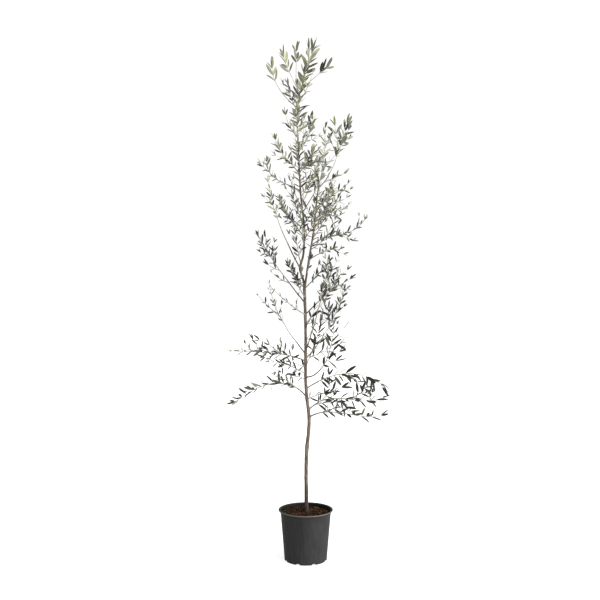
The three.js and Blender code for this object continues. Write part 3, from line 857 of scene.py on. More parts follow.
@dataclass(frozen=True)
class LeafFace(Finish):
    """One face of an olive leaf: a leathery skin that varies from leaf to leaf, with a paler midrib.

    The upper face has a waxy shine. The lower face is covered in tiny silver scales, so it is pale and dull.
    The skin's pebbling, finer than half a millimetre on a real leaf, is drawn 1.6 mm coarse so that it shows.
    """

    dark: str
    light: str
    midrib: str
    roughness: float
    midrib_share: float
    ior: float
    mottle: float = 5.0
    pebble: float = 1.6

    def material(self) -> bpy.types.Material:
        """Make the material: tone from leaf to leaf, a quarter of it mottled, then the midrib.

        Returns:
            The material.
        """
        material, tree, surface = self.start(self.roughness, self.ior)
        tone = add(tree, "ShaderNodeAttribute", attribute_name=TONE).outputs["Fac"]
        leaf = self.blend(tree, tone, 0.12, 0.78, self.dark, self.light)
        mottled = self.blend(tree, self.noise(tree, self.mottle), 0.35, 0.75, leaf, self.light)
        skin = add(tree, "ShaderNodeMix", {"Factor": 0.25, 6: leaf, 7: mottled}, data_type="RGBA").outputs[2]
        blade = add(tree, "ShaderNodeUVMap", uv_map=LEAF_UV).outputs[0]
        across = add(tree, "ShaderNodeSeparateXYZ", {"Vector": blade}).outputs["Y"]
        centred = add(tree, "ShaderNodeMath", {0: across, 1: 0.5}, operation="SUBTRACT").outputs[0]
        off_rib = add(tree, "ShaderNodeMath", {0: centred}, operation="ABSOLUTE").outputs[0]
        colour = self.blend(tree, off_rib, 0.0, self.midrib_share, self.midrib, skin)
        self.dress(tree, surface, colour, self.noise(tree, self.pebble, detail=2.0), 0.12, 0.6)
        return material


@dataclass(frozen=True)
class Bark(Finish):
    """Young olive bark: smooth, grown in long fine furrows, dusted with grey bloom and pale pores.

    The furrows and the pores are as far apart as their sizes in millimetres say. Below a height, also in
    millimetres, the colour runs darker towards the foot.
    """

    dark: str
    light: str
    bloom: str
    furrow: float
    pore: float
    damp: str = "#1c0f0a"
    damp_top: float = 0.0
    cloud: float = 14.0

    def material(self) -> bpy.types.Material:
        """Make the material: furrows, clouds of bloom over them, pores, and the darker colour at the foot.

        Returns:
            The material.
        """
        material, tree, surface = self.start(0.9, ior=1.3)
        furrows = self.noise(tree, self.furrow, (1, 1, 9), detail=5.0)
        wood = self.blend(tree, furrows, 0.32, 0.68, self.dark, self.light)
        cloud = self.noise(tree, self.cloud, (1, 1, 2.5))
        dusty = self.blend(tree, cloud, 0.42, 0.72, wood, self.bloom)
        place = add(tree, "ShaderNodeTexCoord").outputs["Object"]
        pores = add(tree, "ShaderNodeTexVoronoi", {"Vector": place, "Scale": per_mm(self.pore)})
        colour = self.blend(tree, pores.outputs["Distance"], 0.10, 0.17, self.bloom, dusty)
        # Below the given top height the bark's colour runs to a darker one towards the foot.
        if self.damp_top:
            height = add(tree, "ShaderNodeSeparateXYZ", {"Vector": place}).outputs["Z"]
            colour = self.blend(tree, height, SOIL_TOP * MM, self.damp_top * MM, self.damp, colour)
        self.dress(tree, surface, colour, furrows, 0.9)
        return material


@dataclass(frozen=True)
class MouldedPlastic(Finish):
    """Recycled polypropylene, injection moulded and left matt: nearly black, with a paler outer edge on its
    rim, partly a dusting and partly a painted highlight.

    Faint upright streaks show where the mould was drawn, and watering has left soft stains. The inside,
    where the piece's tone is 0, is painted near black as painted shade in the pot's hollow. The grain of the
    mould, a few tenths of a millimetre
    in a real one, is drawn 2.2 mm coarse so that it shows.
    """

    dark: str
    light: str
    # The colour of the rim's outer edge: partly a dusting, partly a painted highlight.
    dust: str
    # The inside's near-black colour is painted shade for the pot's hollow.
    inside: str
    dust_radius: float
    streak: float = 5.0
    stain: float = 38.0
    grain: float = 2.2
    dust_width: float = 2.0

    def material(self) -> bpy.types.Material:
        """Make the material: streaks, stains, a paler rim edge of dusting and painted highlight past a
        wandering radius, and the painted shade of the inside.

        Returns:
            The material.
        """
        material, tree, surface = self.start(0.6, ior=1.12)
        streaks = self.noise(tree, self.streak, (1, 1, 40), detail=2.0)
        body = self.blend(tree, streaks, 0.3, 0.7, self.dark, self.light)
        stains = self.noise(tree, self.stain, (1, 1, 1.6), detail=4.0)
        stained = self.blend(tree, stains, 0.45, 0.8, body, self.light)
        place = add(tree, "ShaderNodeTexCoord").outputs["Object"]
        level = {0: place, 1: (1.0, 1.0, 0.0)}
        flat = add(tree, "ShaderNodeVectorMath", level, operation="MULTIPLY").outputs[0]
        radius = add(tree, "ShaderNodeVectorMath", {0: flat}, operation="LENGTH").outputs["Value"]
        grain = self.noise(tree, self.grain, detail=4.0)
        stray = {0: grain, 1: self.dust_width * MM}
        wander = add(tree, "ShaderNodeMath", stray, operation="MULTIPLY").outputs[0]
        out = add(tree, "ShaderNodeMath", {0: radius, 1: wander}, operation="ADD").outputs[0]
        # Past a wandering radius the lip's outer edge turns paler: partly a dusting, partly a painted
        # highlight.
        low, high = self.dust_radius * MM, (self.dust_radius + self.dust_width) * MM
        dusty = self.blend(tree, out, low, high, stained, self.dust)
        # Tone 0 marks the inside, which takes the near-black inside colour as painted shade in the pot's
        # hollow.
        tone = add(tree, "ShaderNodeAttribute", attribute_name=TONE).outputs["Fac"]
        colour = self.blend(tree, tone, 0.0, 1.0, self.inside, dusty)
        rough = add(tree, "ShaderNodeMapRange", {"Value": stains, "To Min": 0.5, "To Max": 0.72})
        tree.links.new(rough.outputs[0], surface.inputs["Roughness"])
        self.dress(tree, surface, colour, grain, 0.08, 0.5)
        return material


@dataclass(frozen=True)
class Humus(Finish):
    """Composted bark and peat: dark, crumbly and moist, with a grain of a size in millimetres."""

    dark: str
    light: str
    grain: float
    roughness: float = 0.9

    def material(self) -> bpy.types.Material:
        """Make the material: a tone from bit to bit, with painted shade in the grain's hollows over it.

        Returns:
            The material.
        """
        material, tree, surface = self.start(self.roughness, ior=1.1)
        tone = add(tree, "ShaderNodeAttribute", attribute_name=TONE).outputs["Fac"]
        even = self.blend(tree, tone, 0.0, 1.0, self.dark, self.light)
        grain = self.noise(tree, self.grain, detail=6.0)
        # Where the grain is low, in its hollows, the colour falls to the dark: painted shade.
        colour = self.blend(tree, grain, 0.38, 0.66, self.dark, even)
        self.dress(tree, surface, colour, grain, 0.7)
        return material


@dataclass(frozen=True)
class OpalAcrylic(Finish):
    """Cast opal acrylic over a bank of lamps: dull, faintly cloudy, and bright enough to wash shadows out."""

    dark: str
    light: str
    glow: float
    cloud: float = 30.0

    def material(self) -> bpy.types.Material:
        """Make the material: clouds in the sheet's own colour and in its glow.

        Returns:
            The material.
        """
        material, tree, surface = self.start(0.95, ior=1.45)
        cloud = self.noise(tree, self.cloud)
        tree.links.new(self.blend(tree, cloud, 0.0, 1.0, self.dark, self.light), surface.inputs["Base Color"])
        glow = self.blend(tree, cloud, 0.0, 1.0, "#fafafa", "#ffffff")
        tree.links.new(glow, surface.inputs["Emission Color"])
        surface.inputs["Emission Strength"].default_value = self.glow
        return material


# The oldest leaves' faces, the silvery lower face too, are near black: partly age, partly painted shade.
UPPER = {
    Age.MATURE: LeafFace("leaf_upper_mature", "#040502", "#24261a", "#2d3022", 0.45, 0.10, 1.28),
    Age.SUMMER: LeafFace("leaf_upper_summer", "#15150a", "#4f513c", "#565844", 0.48, 0.10, 1.34),
    Age.YOUNG: LeafFace("leaf_upper_young", "#191a09", "#6a6b47", "#747552", 0.50, 0.10, 1.34),
}
UNDER = {
    Age.MATURE: LeafFace("leaf_under_mature", "#161713", "#3d3f38", "#44463f", 0.78, 0.06, 1.30),
    Age.SUMMER: LeafFace("leaf_under_summer", "#4a4c43", "#7c7e71", "#828477", 0.78, 0.06, 1.34),
    Age.YOUNG: LeafFace("leaf_under_young", "#545541", "#85866d", "#8d8e76", 0.75, 0.06, 1.34),
}
TRUNK_BARK = Bark("bark_of_trunk", "#241c16", "#574b40", "#6a6157", 1.6, 7.0, damp_top=330.0)
BOUGH_BARK = Bark("bark_of_boughs", "#2f2a24", "#5e564b", "#6e675c", 1.3, 5.0)
TWIG_BARK = Bark("bark_of_twigs", "#57534a", "#838075", "#908d83", 1.0, 4.0)
# 4c4845 is the rim's outer edge, partly a dusting and partly a painted highlight.
# The last colour, #10100e, is the painted shade of the pot's inside.
POT_PLASTIC = MouldedPlastic("moulded_polypropylene", "#1e1e1e", "#272727", "#4c4845", "#10100e", 103.9)
COMPOST = Humus("peat_and_bark_compost", "#040302", "#180e09", 3.0)
CHIPS = (
    Humus("bark_chip_red", "#140905", "#452111", 2.0, 0.85),
    Humus("bark_chip_brown", "#080503", "#1f1610", 2.0, 0.85),
    Humus("bark_chip_tan", "#2b2317", "#5f5138", 2.0, 0.9),
)
TABLE_SHEET = OpalAcrylic("cast_opal_acrylic", "#949494", "#989898", 0.74)


# ---- Leaves ----


@dataclass
class Leaves:
    """Arrays that say where leaves stand, how they lie and how old they are. Sizes in millimetres."""

    root: np.ndarray
    along: np.ndarray
    normal: np.ndarray
    length: np.ndarray
    fresh: np.ndarray
    seed: np.ndarray

    @staticmethod
    def joined(parts: Sequence["Leaves"]) -> "Leaves":
        """Put sets of leaves together in one."""
        return Leaves(*(np.concatenate([getattr(p, array.name) for p in parts]) for array in fields(Leaves)))

    def kept(self, keep: np.ndarray) -> "Leaves":
        """Only the leaves of a mask."""
        return Leaves(*(getattr(self, array.name)[keep] for array in fields(Leaves)))

    def samples(self, shares: Sequence[float]) -> np.ndarray:
        """Points of shape (leaves, shares, 3) along the midribs: root + along L share."""
        reach = np.array(shares)[None, :, None] * self.length[:, None, None]
        return self.root[:, None] + self.along[:, None] * reach


@dataclass(frozen=True)
class LeafRule:
    """How leaves stand on a limb: in pairs, each a quarter turn round from the last, and a few at its tip.

    They lean out most near the limb's foot and least at its tip. On a level limb they lift to the light,
    but hang in the shade low down, between the two shade heights. The first ones of a limb are smaller, up
    to the small reach. Sizes are in millimetres and angles in degrees.
    """

    length: float = 47.5
    smallest: float = 0.74
    size_range: float = 0.42
    small_loss: float = 0.14
    small_reach: float = 40.0
    first: float = 9.0
    place_scatter: float = 0.3
    stagger: float = 1.5
    spread_foot: float = 56.0
    spread_tip: float = 34.0
    spread_scatter: float = 12.0
    least_roll: float = 15.0
    most_roll: float = 85.0
    turn_scatter: float = 26.0
    lift_upright: float = 0.1
    lift_level: float = 0.5
    lift_shade: float = 0.12
    shade_heights: tuple[float, float] = (700.0, 900.0)
    fresh_to_tip: float = 0.35
    fresh_scatter: float = 0.25
    tip_leans: tuple[float, ...] = (6.0, 26.0, 38.0)
    tip_sizes: tuple[float, ...] = (1.0, 0.85, 0.7)
    tip_lean_scatter: float = 9.0
    tip_roll: float = 70.0
    tip_fresh: float = 0.45

    def on(
        self, limb: Limb, first: float, spacing: float, size: float, fresh: float,
        tip_size: float = 0.9, lift: float = 0.0,
    ) -> Leaves:
        """The leaves of a limb.

        At a share s of the limb, a pair leans foot + (tip - foot) s^2, its leaves are 1 - (1 - tip size) s^2
        of their size and it is younger by fresh to tip s^2. Scattered numbers vary all of them.

        Args:
            limb: A shoot, twig or leafy stem.
            first: The distance of the first pair from the limb's foot, in millimetres.
            spacing: The distance between pairs.
            size: A share of the full leaf length.
            fresh: How young the leaves are, from -1 to 1.
            tip_size: The length of the leaves at the tip, as a share of those at the foot.
            lift: How much more than the rule they lift to the light, or hang where it is below 0.

        Returns:
            The pairs, and the leaves at the tip.
        """
        seed, full = limb.number, self.length * size
        pairs = np.arange(max(1, int((limb.length - first) / spacing)))
        distance = first + (pairs + self.place_scatter * signed(seed, pairs, 20)) * spacing
        distance = np.clip(distance, first * 0.6, limb.length - 2)
        pair, hand = (a.ravel() for a in np.meshgrid(pairs, [0, 1], indexing="ij"))
        distance = distance[pair] + hand * self.stagger * signed(seed, pair, 21)
        bend = (distance / limb.length) ** 2
        turn = pair * 90 + self.turn_scatter * signed(seed, pair, 1) + hand * 180
        lean = self.spread_foot + (self.spread_tip - self.spread_foot) * bend
        lean = lean + self.spread_scatter * signed(seed, pair, 2 + hand * 3)
        roll = self.least_roll + (self.most_roll - self.least_roll) * scatter(seed, pair, 3 + hand * 3)
        roll = roll * np.sign(signed(seed, pair, 17 + hand))
        length = full * (self.smallest + self.size_range * scatter(seed, pair, 4 + hand * 3))
        small = self.small_loss * (1 - soft_step(0, self.small_reach, distance - first))
        length = length * (1 - (1 - tip_size) * bend) * (1 - small)
        age = fresh + self.fresh_to_tip * bend + self.fresh_scatter * signed(seed, pair, 11 + hand)
        tips = np.arange(len(self.tip_leans))
        tip_turn = tips * 360 / len(tips) + 360 * scatter(seed, 7)
        tip_lean = np.array(self.tip_leans) + self.tip_lean_scatter * signed(seed, tips, 14)
        return self.placed(
            limb,
            np.concatenate([distance, np.full(len(tips), limb.length - 1.0)]),
            np.concatenate([turn, tip_turn]),
            np.concatenate([lean, tip_lean]),
            np.concatenate([roll, self.tip_roll * signed(seed, tips, 13)]),
            np.concatenate([length, full * tip_size * np.array(self.tip_sizes)]),
            np.concatenate([age, np.full(len(tips), fresh + self.tip_fresh)]),
            lift,
        )

    def placed(
        self, limb: Limb, distance: np.ndarray, turn: np.ndarray, lean: np.ndarray, roll: np.ndarray,
        length: np.ndarray, fresh: np.ndarray, more_lift: float = 0.0,
    ) -> Leaves:
        """Stand leaves on a limb: along cos(lean) + outward sin(lean) + up lift, turned about its midrib.

        Outward is above cos(turn) + side sin(turn). A leaf's upper face looks to the sky before it is turned.

        Args:
            limb: What they stand on.
            distance: Distances from its foot, in millimetres.
            turn: Angles round the limb, from above.
            lean: Angles out from the limb.
            roll: Angles about the midrib.
            length: Lengths in millimetres.
            fresh: How young they are.
            more_lift: What is added to the lift.

        Returns:
            The leaves.
        """
        tangent, side, above = axes_on(limb, distance)
        t, s = np.radians(turn)[:, None], np.radians(lean)[:, None]
        outward = above * np.cos(t) + side * np.sin(t)
        root = limb.point(distance)
        level = 1 - np.abs(tangent[:, 2:])
        light = soft_step(*self.shade_heights, root[:, 2:])
        level_lift = self.lift_shade + (self.lift_level - self.lift_shade) * light
        lift = self.lift_upright + (level_lift - self.lift_upright) * level + more_lift
        along = unit(tangent * np.cos(s) + outward * np.sin(s) + UP * lift)
        sky = UP + tangent
        normal = unit(sky - along * np.sum(sky * along, axis=1, keepdims=True))
        seed = limb.number + 0.37 * np.arange(len(distance))
        return Leaves(root, along, turned(normal, along, roll), length, fresh, seed)


@dataclass(frozen=True)
class Blade:
    """The form of an olive leaf: a narrow blade on a short stalk, creased along its midrib.

    A ring of four points (left edge, crease, right edge, rib below) is carried along the midrib. With u
    from 0 to 1, the midrib is root + along L u + normal curl L u^2 + across bend L u^2, and the edges stand
    off it by the half width w(u), raised by the fold. Stations are values of u, each with its share of the
    full width and of the rib's thickness in millimetres.
    """

    stations: tuple[float, ...] = (0.0, 0.07, 0.2, 0.38, 0.58, 0.77, 0.92)
    widths: tuple[float, ...] = (0.09, 0.13, 0.68, 0.96, 1.0, 0.8, 0.42)
    thickness: tuple[float, ...] = (1.0, 1.0, 0.6, 0.5, 0.42, 0.34, 0.25)
    width_share: float = 0.235
    rib: float = 0.55
    curl: float = 0.16
    bend: float = 0.06
    fold: float = 17.0

    def surface(self, leaves: Leaves) -> Surface:
        """The blades of some leaves as one surface.

        Args:
            leaves: Where they stand, how they lie and how long they are.

        Returns:
            The blades: finish 0 is the upper face and 1 the lower, the uv runs along and across each blade,
            and each has one tone.
        """
        sides, stations, count = 4, len(self.stations), len(leaves.root)
        u = np.array(self.stations + (1.0,))[None, :, None]
        length = leaves.length[:, None, None]
        across = np.cross(leaves.along, leaves.normal)[:, None]
        along, normal = leaves.along[:, None], leaves.normal[:, None]
        curl = (self.curl * (signed(leaves.seed, 31) - 0.35))[:, None, None]
        bend = (self.bend * signed(leaves.seed, 32))[:, None, None]
        middle = leaves.root[:, None] + along * length * (u - 0.5 * curl**2 * u**2)
        middle = middle + normal * curl * length * u**2 + across * bend * length * u**2
        width = (0.5 * self.width_share * (0.85 + 0.3 * scatter(leaves.seed, 33)))[:, None, None]
        fold = np.radians(self.fold * (0.6 + 0.8 * scatter(leaves.seed, 34)))[:, None, None]
        reach = width * length * np.array(self.widths)[None, :, None]
        rib = self.rib * np.array(self.thickness)[None, :, None]
        rings = middle[:, :-1]
        raised = normal * reach * np.sin(fold)
        left = rings - across * reach * np.cos(fold) + raised
        right = rings + across * reach * np.cos(fold) + raised
        points = np.stack([left, rings + normal * rib * 0.25, right, rings - normal * rib * 0.75], axis=2)
        vertices = np.concatenate([points.reshape(count, -1, 3), middle[:, -1:]], axis=1)
        per_leaf = vertices.shape[1]
        side = np.arange(sides)
        last = (stations - 1) * sides
        quads = np.concatenate([ring_quads(stations, sides), [side[::-1]]])
        tips = np.stack([last + side, last + (side + 1) % sides, np.full(sides, per_leaf - 1)], -1)
        start = (np.arange(count) * per_leaf)[:, None, None]
        below = (side >= 2).astype(int)
        along_uv = np.append(np.repeat(self.stations, sides), 1.0)
        across_uv = np.append(np.tile([0.0, 0.5, 1.0, 0.5], stations), 0.5)
        return Surface(
            vertices.reshape(-1, 3),
            (quads + start).reshape(-1, 4),
            (tips + start).reshape(-1, 3),
            quad_finish=np.tile(np.append(np.tile(below, stations - 1), 0), count),
            triangle_finish=np.tile(below, count),
            tone=np.repeat(scatter(leaves.seed, 35), per_leaf),
            uv=np.tile(np.stack([along_uv, across_uv], -1), (count, 1)),
        )


# ---- Sub-assemblies ----


class Mound(NamedTuple):
    """A swelling of a stem's bark: the scar of a lost shoot, or the collar under a living one.

    It has a height up the stem, an azimuth in degrees, a size across and a rise, in millimetres.
    """

    stem: str
    height: float
    azimuth: float
    size: float
    rise: float


SCARS = (
    Mound("trunk", 262, 40, 7.0, 1.3),
    Mound("trunk", 318, 210, 6.0, 1.1),
    Mound("trunk", 374, -30, 6.5, 1.2),
    Mound("trunk", 433, 20, 10.0, 2.2),
    Mound("trunk", 431, 200, 9.0, 1.7),
    Mound("trunk", 487, -70, 6.0, 1.2),
    Mound("trunk", 505, 140, 6.0, 1.2),
    Mound("trunk", 592, 250, 5.5, 1.0),
    Mound("trunk", 838, -30, 5.5, 0.9),
    Mound("trunk", 1032, 200, 12.0, 1.2),
    Mound("leader_left", 1160, 60, 5.0, 0.8),
    Mound("leader_right", 1110, 170, 5.0, 0.8),
)


@dataclass
class Wood:
    """The stems and boughs, with their bark in relief, and the soft wood of shoots and twigs. Sizes in mm."""

    stems: dict[str, Stem]
    shoots: dict[str, Shoot]
    bough_from: float = 50.0
    stem_sides: int = 30
    bough_sides: int = 12
    shoot_sides: int = 8
    twig_sides: int = 6
    stem_step: float = 3.0
    shoot_step: float = 6.0
    head_round: float = 5.0
    tip_round: float = 3.0
    buttress_height: float = 11.0
    joint_spacing: float = 20.0
    joint_length: float = 2.2
    joint_swell: float = 0.14
    collar_swell: float = 0.35
    collar_length: float = 5.0

    def has_bough(self, shoot: Shoot) -> bool:
        """Whether a shoot's bare foot is a main bough."""
        return shoot.parent in self.stems and shoot.bare >= self.bough_from

    def mounds(self, stem: Stem) -> Iterable[Mound]:
        """The scars of a stem and the collars under its shoots, which grow with the shoots' feet.

        Args:
            stem: The stem.

        Yields:
            Each scar, then each collar.
        """
        yield from (scar for scar in SCARS if scar.stem == stem.name)
        for shoot in self.shoots.values():
            if shoot.parent == stem.name:
                foot = float(shoot.radius(0))
                yield Mound(stem.name, shoot.at - 1.5, shoot.azimuth, 2.4 * foot, 0.45 * foot)

    def relief(self, stem: Stem, angle: np.ndarray, height: np.ndarray) -> np.ndarray:
        """How far the bark stands off the plain taper.

        Long low ridges are sines of the angle that drift with height, 0.2 mm deep. Each scar and collar is
        rise exp(-(arc^2 + (dz / 1.5)^2) / size^2), a mound a little taller than wide. Both are lower where
        the stem is thinner than 5 mm.

        Args:
            stem: The stem.
            angle: Angles round it, in radians.
            height: Heights up it, in millimetres.

        Returns:
            A distance in millimetres for each place.
        """
        drift = 2.1 * np.sin(height / 37.0) + 1.3 * np.sin(height / 15.5 + 1.0)
        ridges = np.sin(5 * angle + drift) + 0.7 * np.sin(9 * angle - 1.7 * drift + height / 21.0)
        grain = np.sin(13 * angle + height / 6.0 + 2 * np.sin(height / 9.0))
        rise = 0.14 * ridges + 0.07 * grain + 0.10 * np.sin(height / 4.3 + 3 * np.sin(angle))
        for mound in self.mounds(stem):
            arc = np.angle(np.exp(1j * (angle - math.radians(mound.azimuth)))) * stem.radius(height)
            upright = (height - mound.height) / 1.5
            rise = rise + mound.rise * np.exp(-(arc**2 + upright**2) / mound.size**2)
        return rise * np.clip(stem.radius(height) / 5.0, 0.4, 1.0)

    def stem_surface(self, stem: Stem) -> Surface:
        """A stem's skin: level rings of centre + (radius + relief) (cos t, sin t, 0), rounded at the head.

        The buttress at a foot swells it on three sides by exp(-z / buttress height) sin(3 t).

        Args:
            stem: The stem.

        Returns:
            The skin, with a tone for each 40 mm of height.
        """
        foot, head = stem.foot[2] - stem.sunk, stem.head[2]
        heights = np.linspace(foot, head, round((head - foot) / self.stem_step) + 1)
        heights = np.append(heights, head + 0.8)
        height, angle = np.meshgrid(heights, angles_round(self.stem_sides), indexing="ij")
        radius = stem.radius(np.maximum(height, stem.foot[2])) + self.relief(stem, angle, height)
        radius = radius * np.sqrt(np.clip((head + 1.4 - height) / self.head_round, 0.05, 1.0))
        fall = np.exp(-np.maximum(height - stem.foot[2], 0) / self.buttress_height)
        radius = radius + stem.buttress * fall * np.maximum(np.sin(3 * angle + 0.6), -0.2)
        ring = np.stack([np.cos(angle), np.sin(angle), 0 * angle], -1) * radius[..., None]
        return tube(stem.point(height) + ring, tone=scatter(heights // 40.0, 5))

    def limb_surface(self, limb: Shoot | Twig, start: float, end: float, sides: int) -> Surface:
        """A shoot's or twig's skin between two distances.

        Rings of radius (above cos t + side sin t) stand square to its line. They swell in a collar where it
        starts, and by a seventh at each joint of the wood.

        Args:
            limb: The shoot or twig.
            start: Where the skin starts, in millimetres from the limb's foot.
            end: Where it ends.
            sides: How many sides it has.

        Returns:
            The skin, rounded off if it ends at the tip.
        """
        rings = max(3, round((end - start) / self.shoot_step) + 1)
        distance, angle = np.meshgrid(np.linspace(start, end, rings), angles_round(sides), indexing="ij")
        off_joint = (distance % self.joint_spacing) - self.joint_spacing / 2
        swell = self.joint_swell * np.exp(-((off_joint / self.joint_length) ** 2))
        collar = self.collar_swell * np.exp(-distance / self.collar_length) if start == 0 else 0.0
        radius = limb.radius(distance) * (1 + swell + collar + 0.05 * np.sin(3 * angle + distance / 8.0))
        if end >= limb.length - 0.5:
            radius = radius * np.sqrt(np.clip((end - distance) / self.tip_round + 0.08, 0.0, 1.0))
        _, side, above = axes_on(limb, distance)
        ring = above * np.cos(angle)[..., None] + side * np.sin(angle)[..., None]
        return tube(limb.point(distance) + ring * radius[..., None], tone=float(scatter(limb.number, 5)))

    def build(self, twigs: Sequence[Twig]) -> None:
        """Make the bark of the stems, of the boughs, and of the shoots and twigs.

        Args:
            twigs: The side twigs.
        """
        stems = Surface.joined([self.stem_surface(s) for s in self.stems.values()])
        piece = stems.piece("bark_of_stems", [TRUNK_BARK.material()], 60)
        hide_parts(*self.stems)
        boughs = [s for s in self.shoots.values() if self.has_bough(s)]
        skins = [self.limb_surface(s, 0.0, s.bare, self.bough_sides) for s in boughs]
        piece = Surface.joined(skins).piece("bark_of_boughs", [BOUGH_BARK.material()], 60)
        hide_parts(*("bough_" + s.name for s in boughs))
        skins = [
            self.limb_surface(s, s.bare - 0.5 if self.has_bough(s) else 0.0, s.length, self.shoot_sides)
            for s in self.shoots.values()
        ]
        skins += [self.limb_surface(t, 0.0, t.length, self.twig_sides) for t in twigs]
        piece = Surface.joined(skins).piece("shoots_and_twigs", [TWIG_BARK.material()], 60)
        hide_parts(*foliage_nodes())


def foliage_nodes() -> list[str]:
    """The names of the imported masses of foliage."""
    return sorted(name for name in frame["nodes"] if name.startswith("foliage_"))


@dataclass
class Crown:
    """The side twigs and leaves: grown limb by limb, skipped where they would touch, and dealt by age.

    Sizes are in millimetres. Over the size heights, leaves and the distances between them have the shares
    that sizes gives. Each leafy stem has its name, where it starts, its number and its pairs' distance.
    """

    wood: Wood
    rule: LeafRule = LeafRule()
    blade: Blade = Blade()
    twig_length: float = 64.0
    twig_lean: float = 46.0
    twig_lift: float = 0.15
    twig_leaf: float = 0.86
    twig_pairs: float = 20.0
    twig_bare: float = 20.0
    twig_turn: float = 137.5
    thickest_twig: float = 1.05
    shortest: float = 66.0
    limb_gap: float = 2.5
    leaf_gap: float = 5.2
    reach: float = 16.0
    # Over these heights leaves grow younger; the low, old ones are painted near black, partly as painted
    # shade.
    young_height: tuple[float, float] = (1250.0, 1950.0)
    hanging_on: float = 0.12
    summer_from: float = 0.05
    young_from: float = 0.62
    size_heights: tuple[float, ...] = (800.0, 1000.0, 1420.0, 1580.0, 1720.0, 1860.0, 1960.0)
    sizes: tuple[float, ...] = (1.06, 0.8, 0.76, 0.84, 0.94, 1.0, 1.1)
    leafy_stems: tuple[tuple[str, float, int, float], ...] = (
        ("leader_left", 1400.0, 91, 12.0),
        ("leader_right", 1190.0, 92, 14.0),
    )

    def size_at(self, shoot: Shoot) -> float:
        """The share of the full leaf length that a shoot's leaves reach, by the height of its middle."""
        return float(np.interp(shoot.line[len(shoot.line) // 2, 2], self.size_heights, self.sizes))

    def twigs_of(self, shoot: Shoot) -> list[Twig]:
        """The side twigs of a long shoot: shorter towards its tip, each the golden angle round from the last.

        Args:
            shoot: The shoot.

        Returns:
            Its twigs, or none where it is short or its twigs would be further apart than it is long.
        """
        start = max(shoot.bare + 14, shoot.leafy_from)
        stride = shoot.vigour.value.twigs * self.size_at(shoot)
        if shoot.length - start < self.shortest or stride > shoot.length:
            return []
        seed = shoot.number
        n = np.arange(max(1, int((shoot.length * 0.86 - start) / stride) + 1))
        distance = start + (n + 0.3 * scatter(seed, n, 40)) * stride
        turn = n * self.twig_turn + 50 * scatter(seed, n, 41)
        lean = self.twig_lean + 10 * signed(seed, n, 42)
        length = self.twig_length * (1.2 - 0.6 * distance / shoot.length) * (0.8 + 0.4 * scatter(seed, n, 43))
        length = length * (0.5 + 0.5 * self.size_at(shoot))
        zero = np.zeros(len(n))
        rule = replace(self.rule, lift_level=self.twig_lift)
        stand = rule.placed(shoot, distance, turn, lean, zero, length, zero)
        radius = np.minimum(self.thickest_twig, shoot.radius(distance) * 0.8)
        sizes = np.stack([length, radius, distance / shoot.length], -1).tolist()
        return [Twig(seed * 100 + k, stand.root[k], stand.along[k], *sizes[k]) for k in range(len(n))]

    def grown(self) -> tuple[list[Twig], Leaves]:
        """Grow every shoot's leaves and twigs, and the leaves of the leafy stems.

        Returns:
            All side twigs, and all leaves before any is skipped.
        """
        twigs: list[Twig] = []
        leaves: list[Leaves] = []
        for shoot in self.wood.shoots.values():
            size = self.size_at(shoot)
            habit = shoot.vigour.value
            first = max(shoot.bare + self.rule.first, shoot.leafy_from)
            spacing = habit.pairs * size
            leaves.append(
                self.rule.on(shoot, first, spacing, shoot.leaf, shoot.freshness, habit.tip_size, shoot.lift)
            )
            for twig in self.twigs_of(shoot):
                twigs.append(twig)
                first = min(self.twig_bare, twig.length * 0.4)
                leaf = self.twig_leaf * shoot.leaf * (1 - (1 - habit.tip_size) * twig.share**2)
                leaves.append(self.rule.on(twig, first, self.twig_pairs * size, leaf, shoot.freshness))
        for name, start, number, spacing in self.leafy_stems:
            part = LeafyStem(self.wood.stems[name], start, number)
            stand = self.rule.on(part, self.rule.first, spacing, 0.9, 0.3)
            pairs = len(stand.root) - len(self.rule.tip_leans)
            leaves.append(stand.kept(np.arange(len(stand.root)) < pairs))
        grown = Leaves.joined(leaves)
        grown.length = grown.length * np.interp(grown.root[:, 2], self.size_heights, self.sizes)
        return twigs, grown

    def limb_points(self) -> tuple[np.ndarray, np.ndarray]:
        """Mark the room that the wood takes.

        Returns:
            Points down the middle of every stem and bare foot, 4 mm apart, and the radius at each.
        """
        points, radii = [], []
        for stem in self.wood.stems.values():
            height = np.arange(stem.foot[2], stem.head[2], 4.0)
            points.append(stem.point(height))
            radii.append(stem.radius(height))
        for shoot in self.wood.shoots.values():
            distance = np.arange(0.0, max(shoot.bare, 12.0), 4.0)
            points.append(shoot.point(distance))
            radii.append(shoot.radius(distance))
        return np.concatenate(points), np.concatenate(radii)

    def fits(self, leaves: Leaves) -> np.ndarray:
        """Find the leaves that stay in the solids' reach, clear of limbs and of earlier leaves.

        Args:
            leaves: The leaves, in the order in which they may take their room.

        Returns:
            A mask of the leaves that fit.
        """
        limbs, radii = self.limb_points()
        outer = leaves.samples((0.45, 0.7, 1.0))
        low, high = (np.array(c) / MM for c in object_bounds())
        inside = np.all((outer > low - self.reach) & (outer < high + self.reach), axis=(1, 2))
        keep = np.zeros(len(leaves.root), bool)
        taken = np.zeros((0, 3))
        for n in np.flatnonzero(inside):
            mine = outer[n]
            off_limb = np.linalg.norm(mine[:, None] - limbs[None], axis=-1) - radii
            if off_limb.min() < self.limb_gap:
                continue
            gap = self.leaf_gap * leaves.length[n] / self.rule.length
            if len(taken) and np.linalg.norm(mine[:, None] - taken[None], axis=-1).min() < gap:
                continue
            keep[n] = True
            taken = np.concatenate([taken, mine])
        return keep

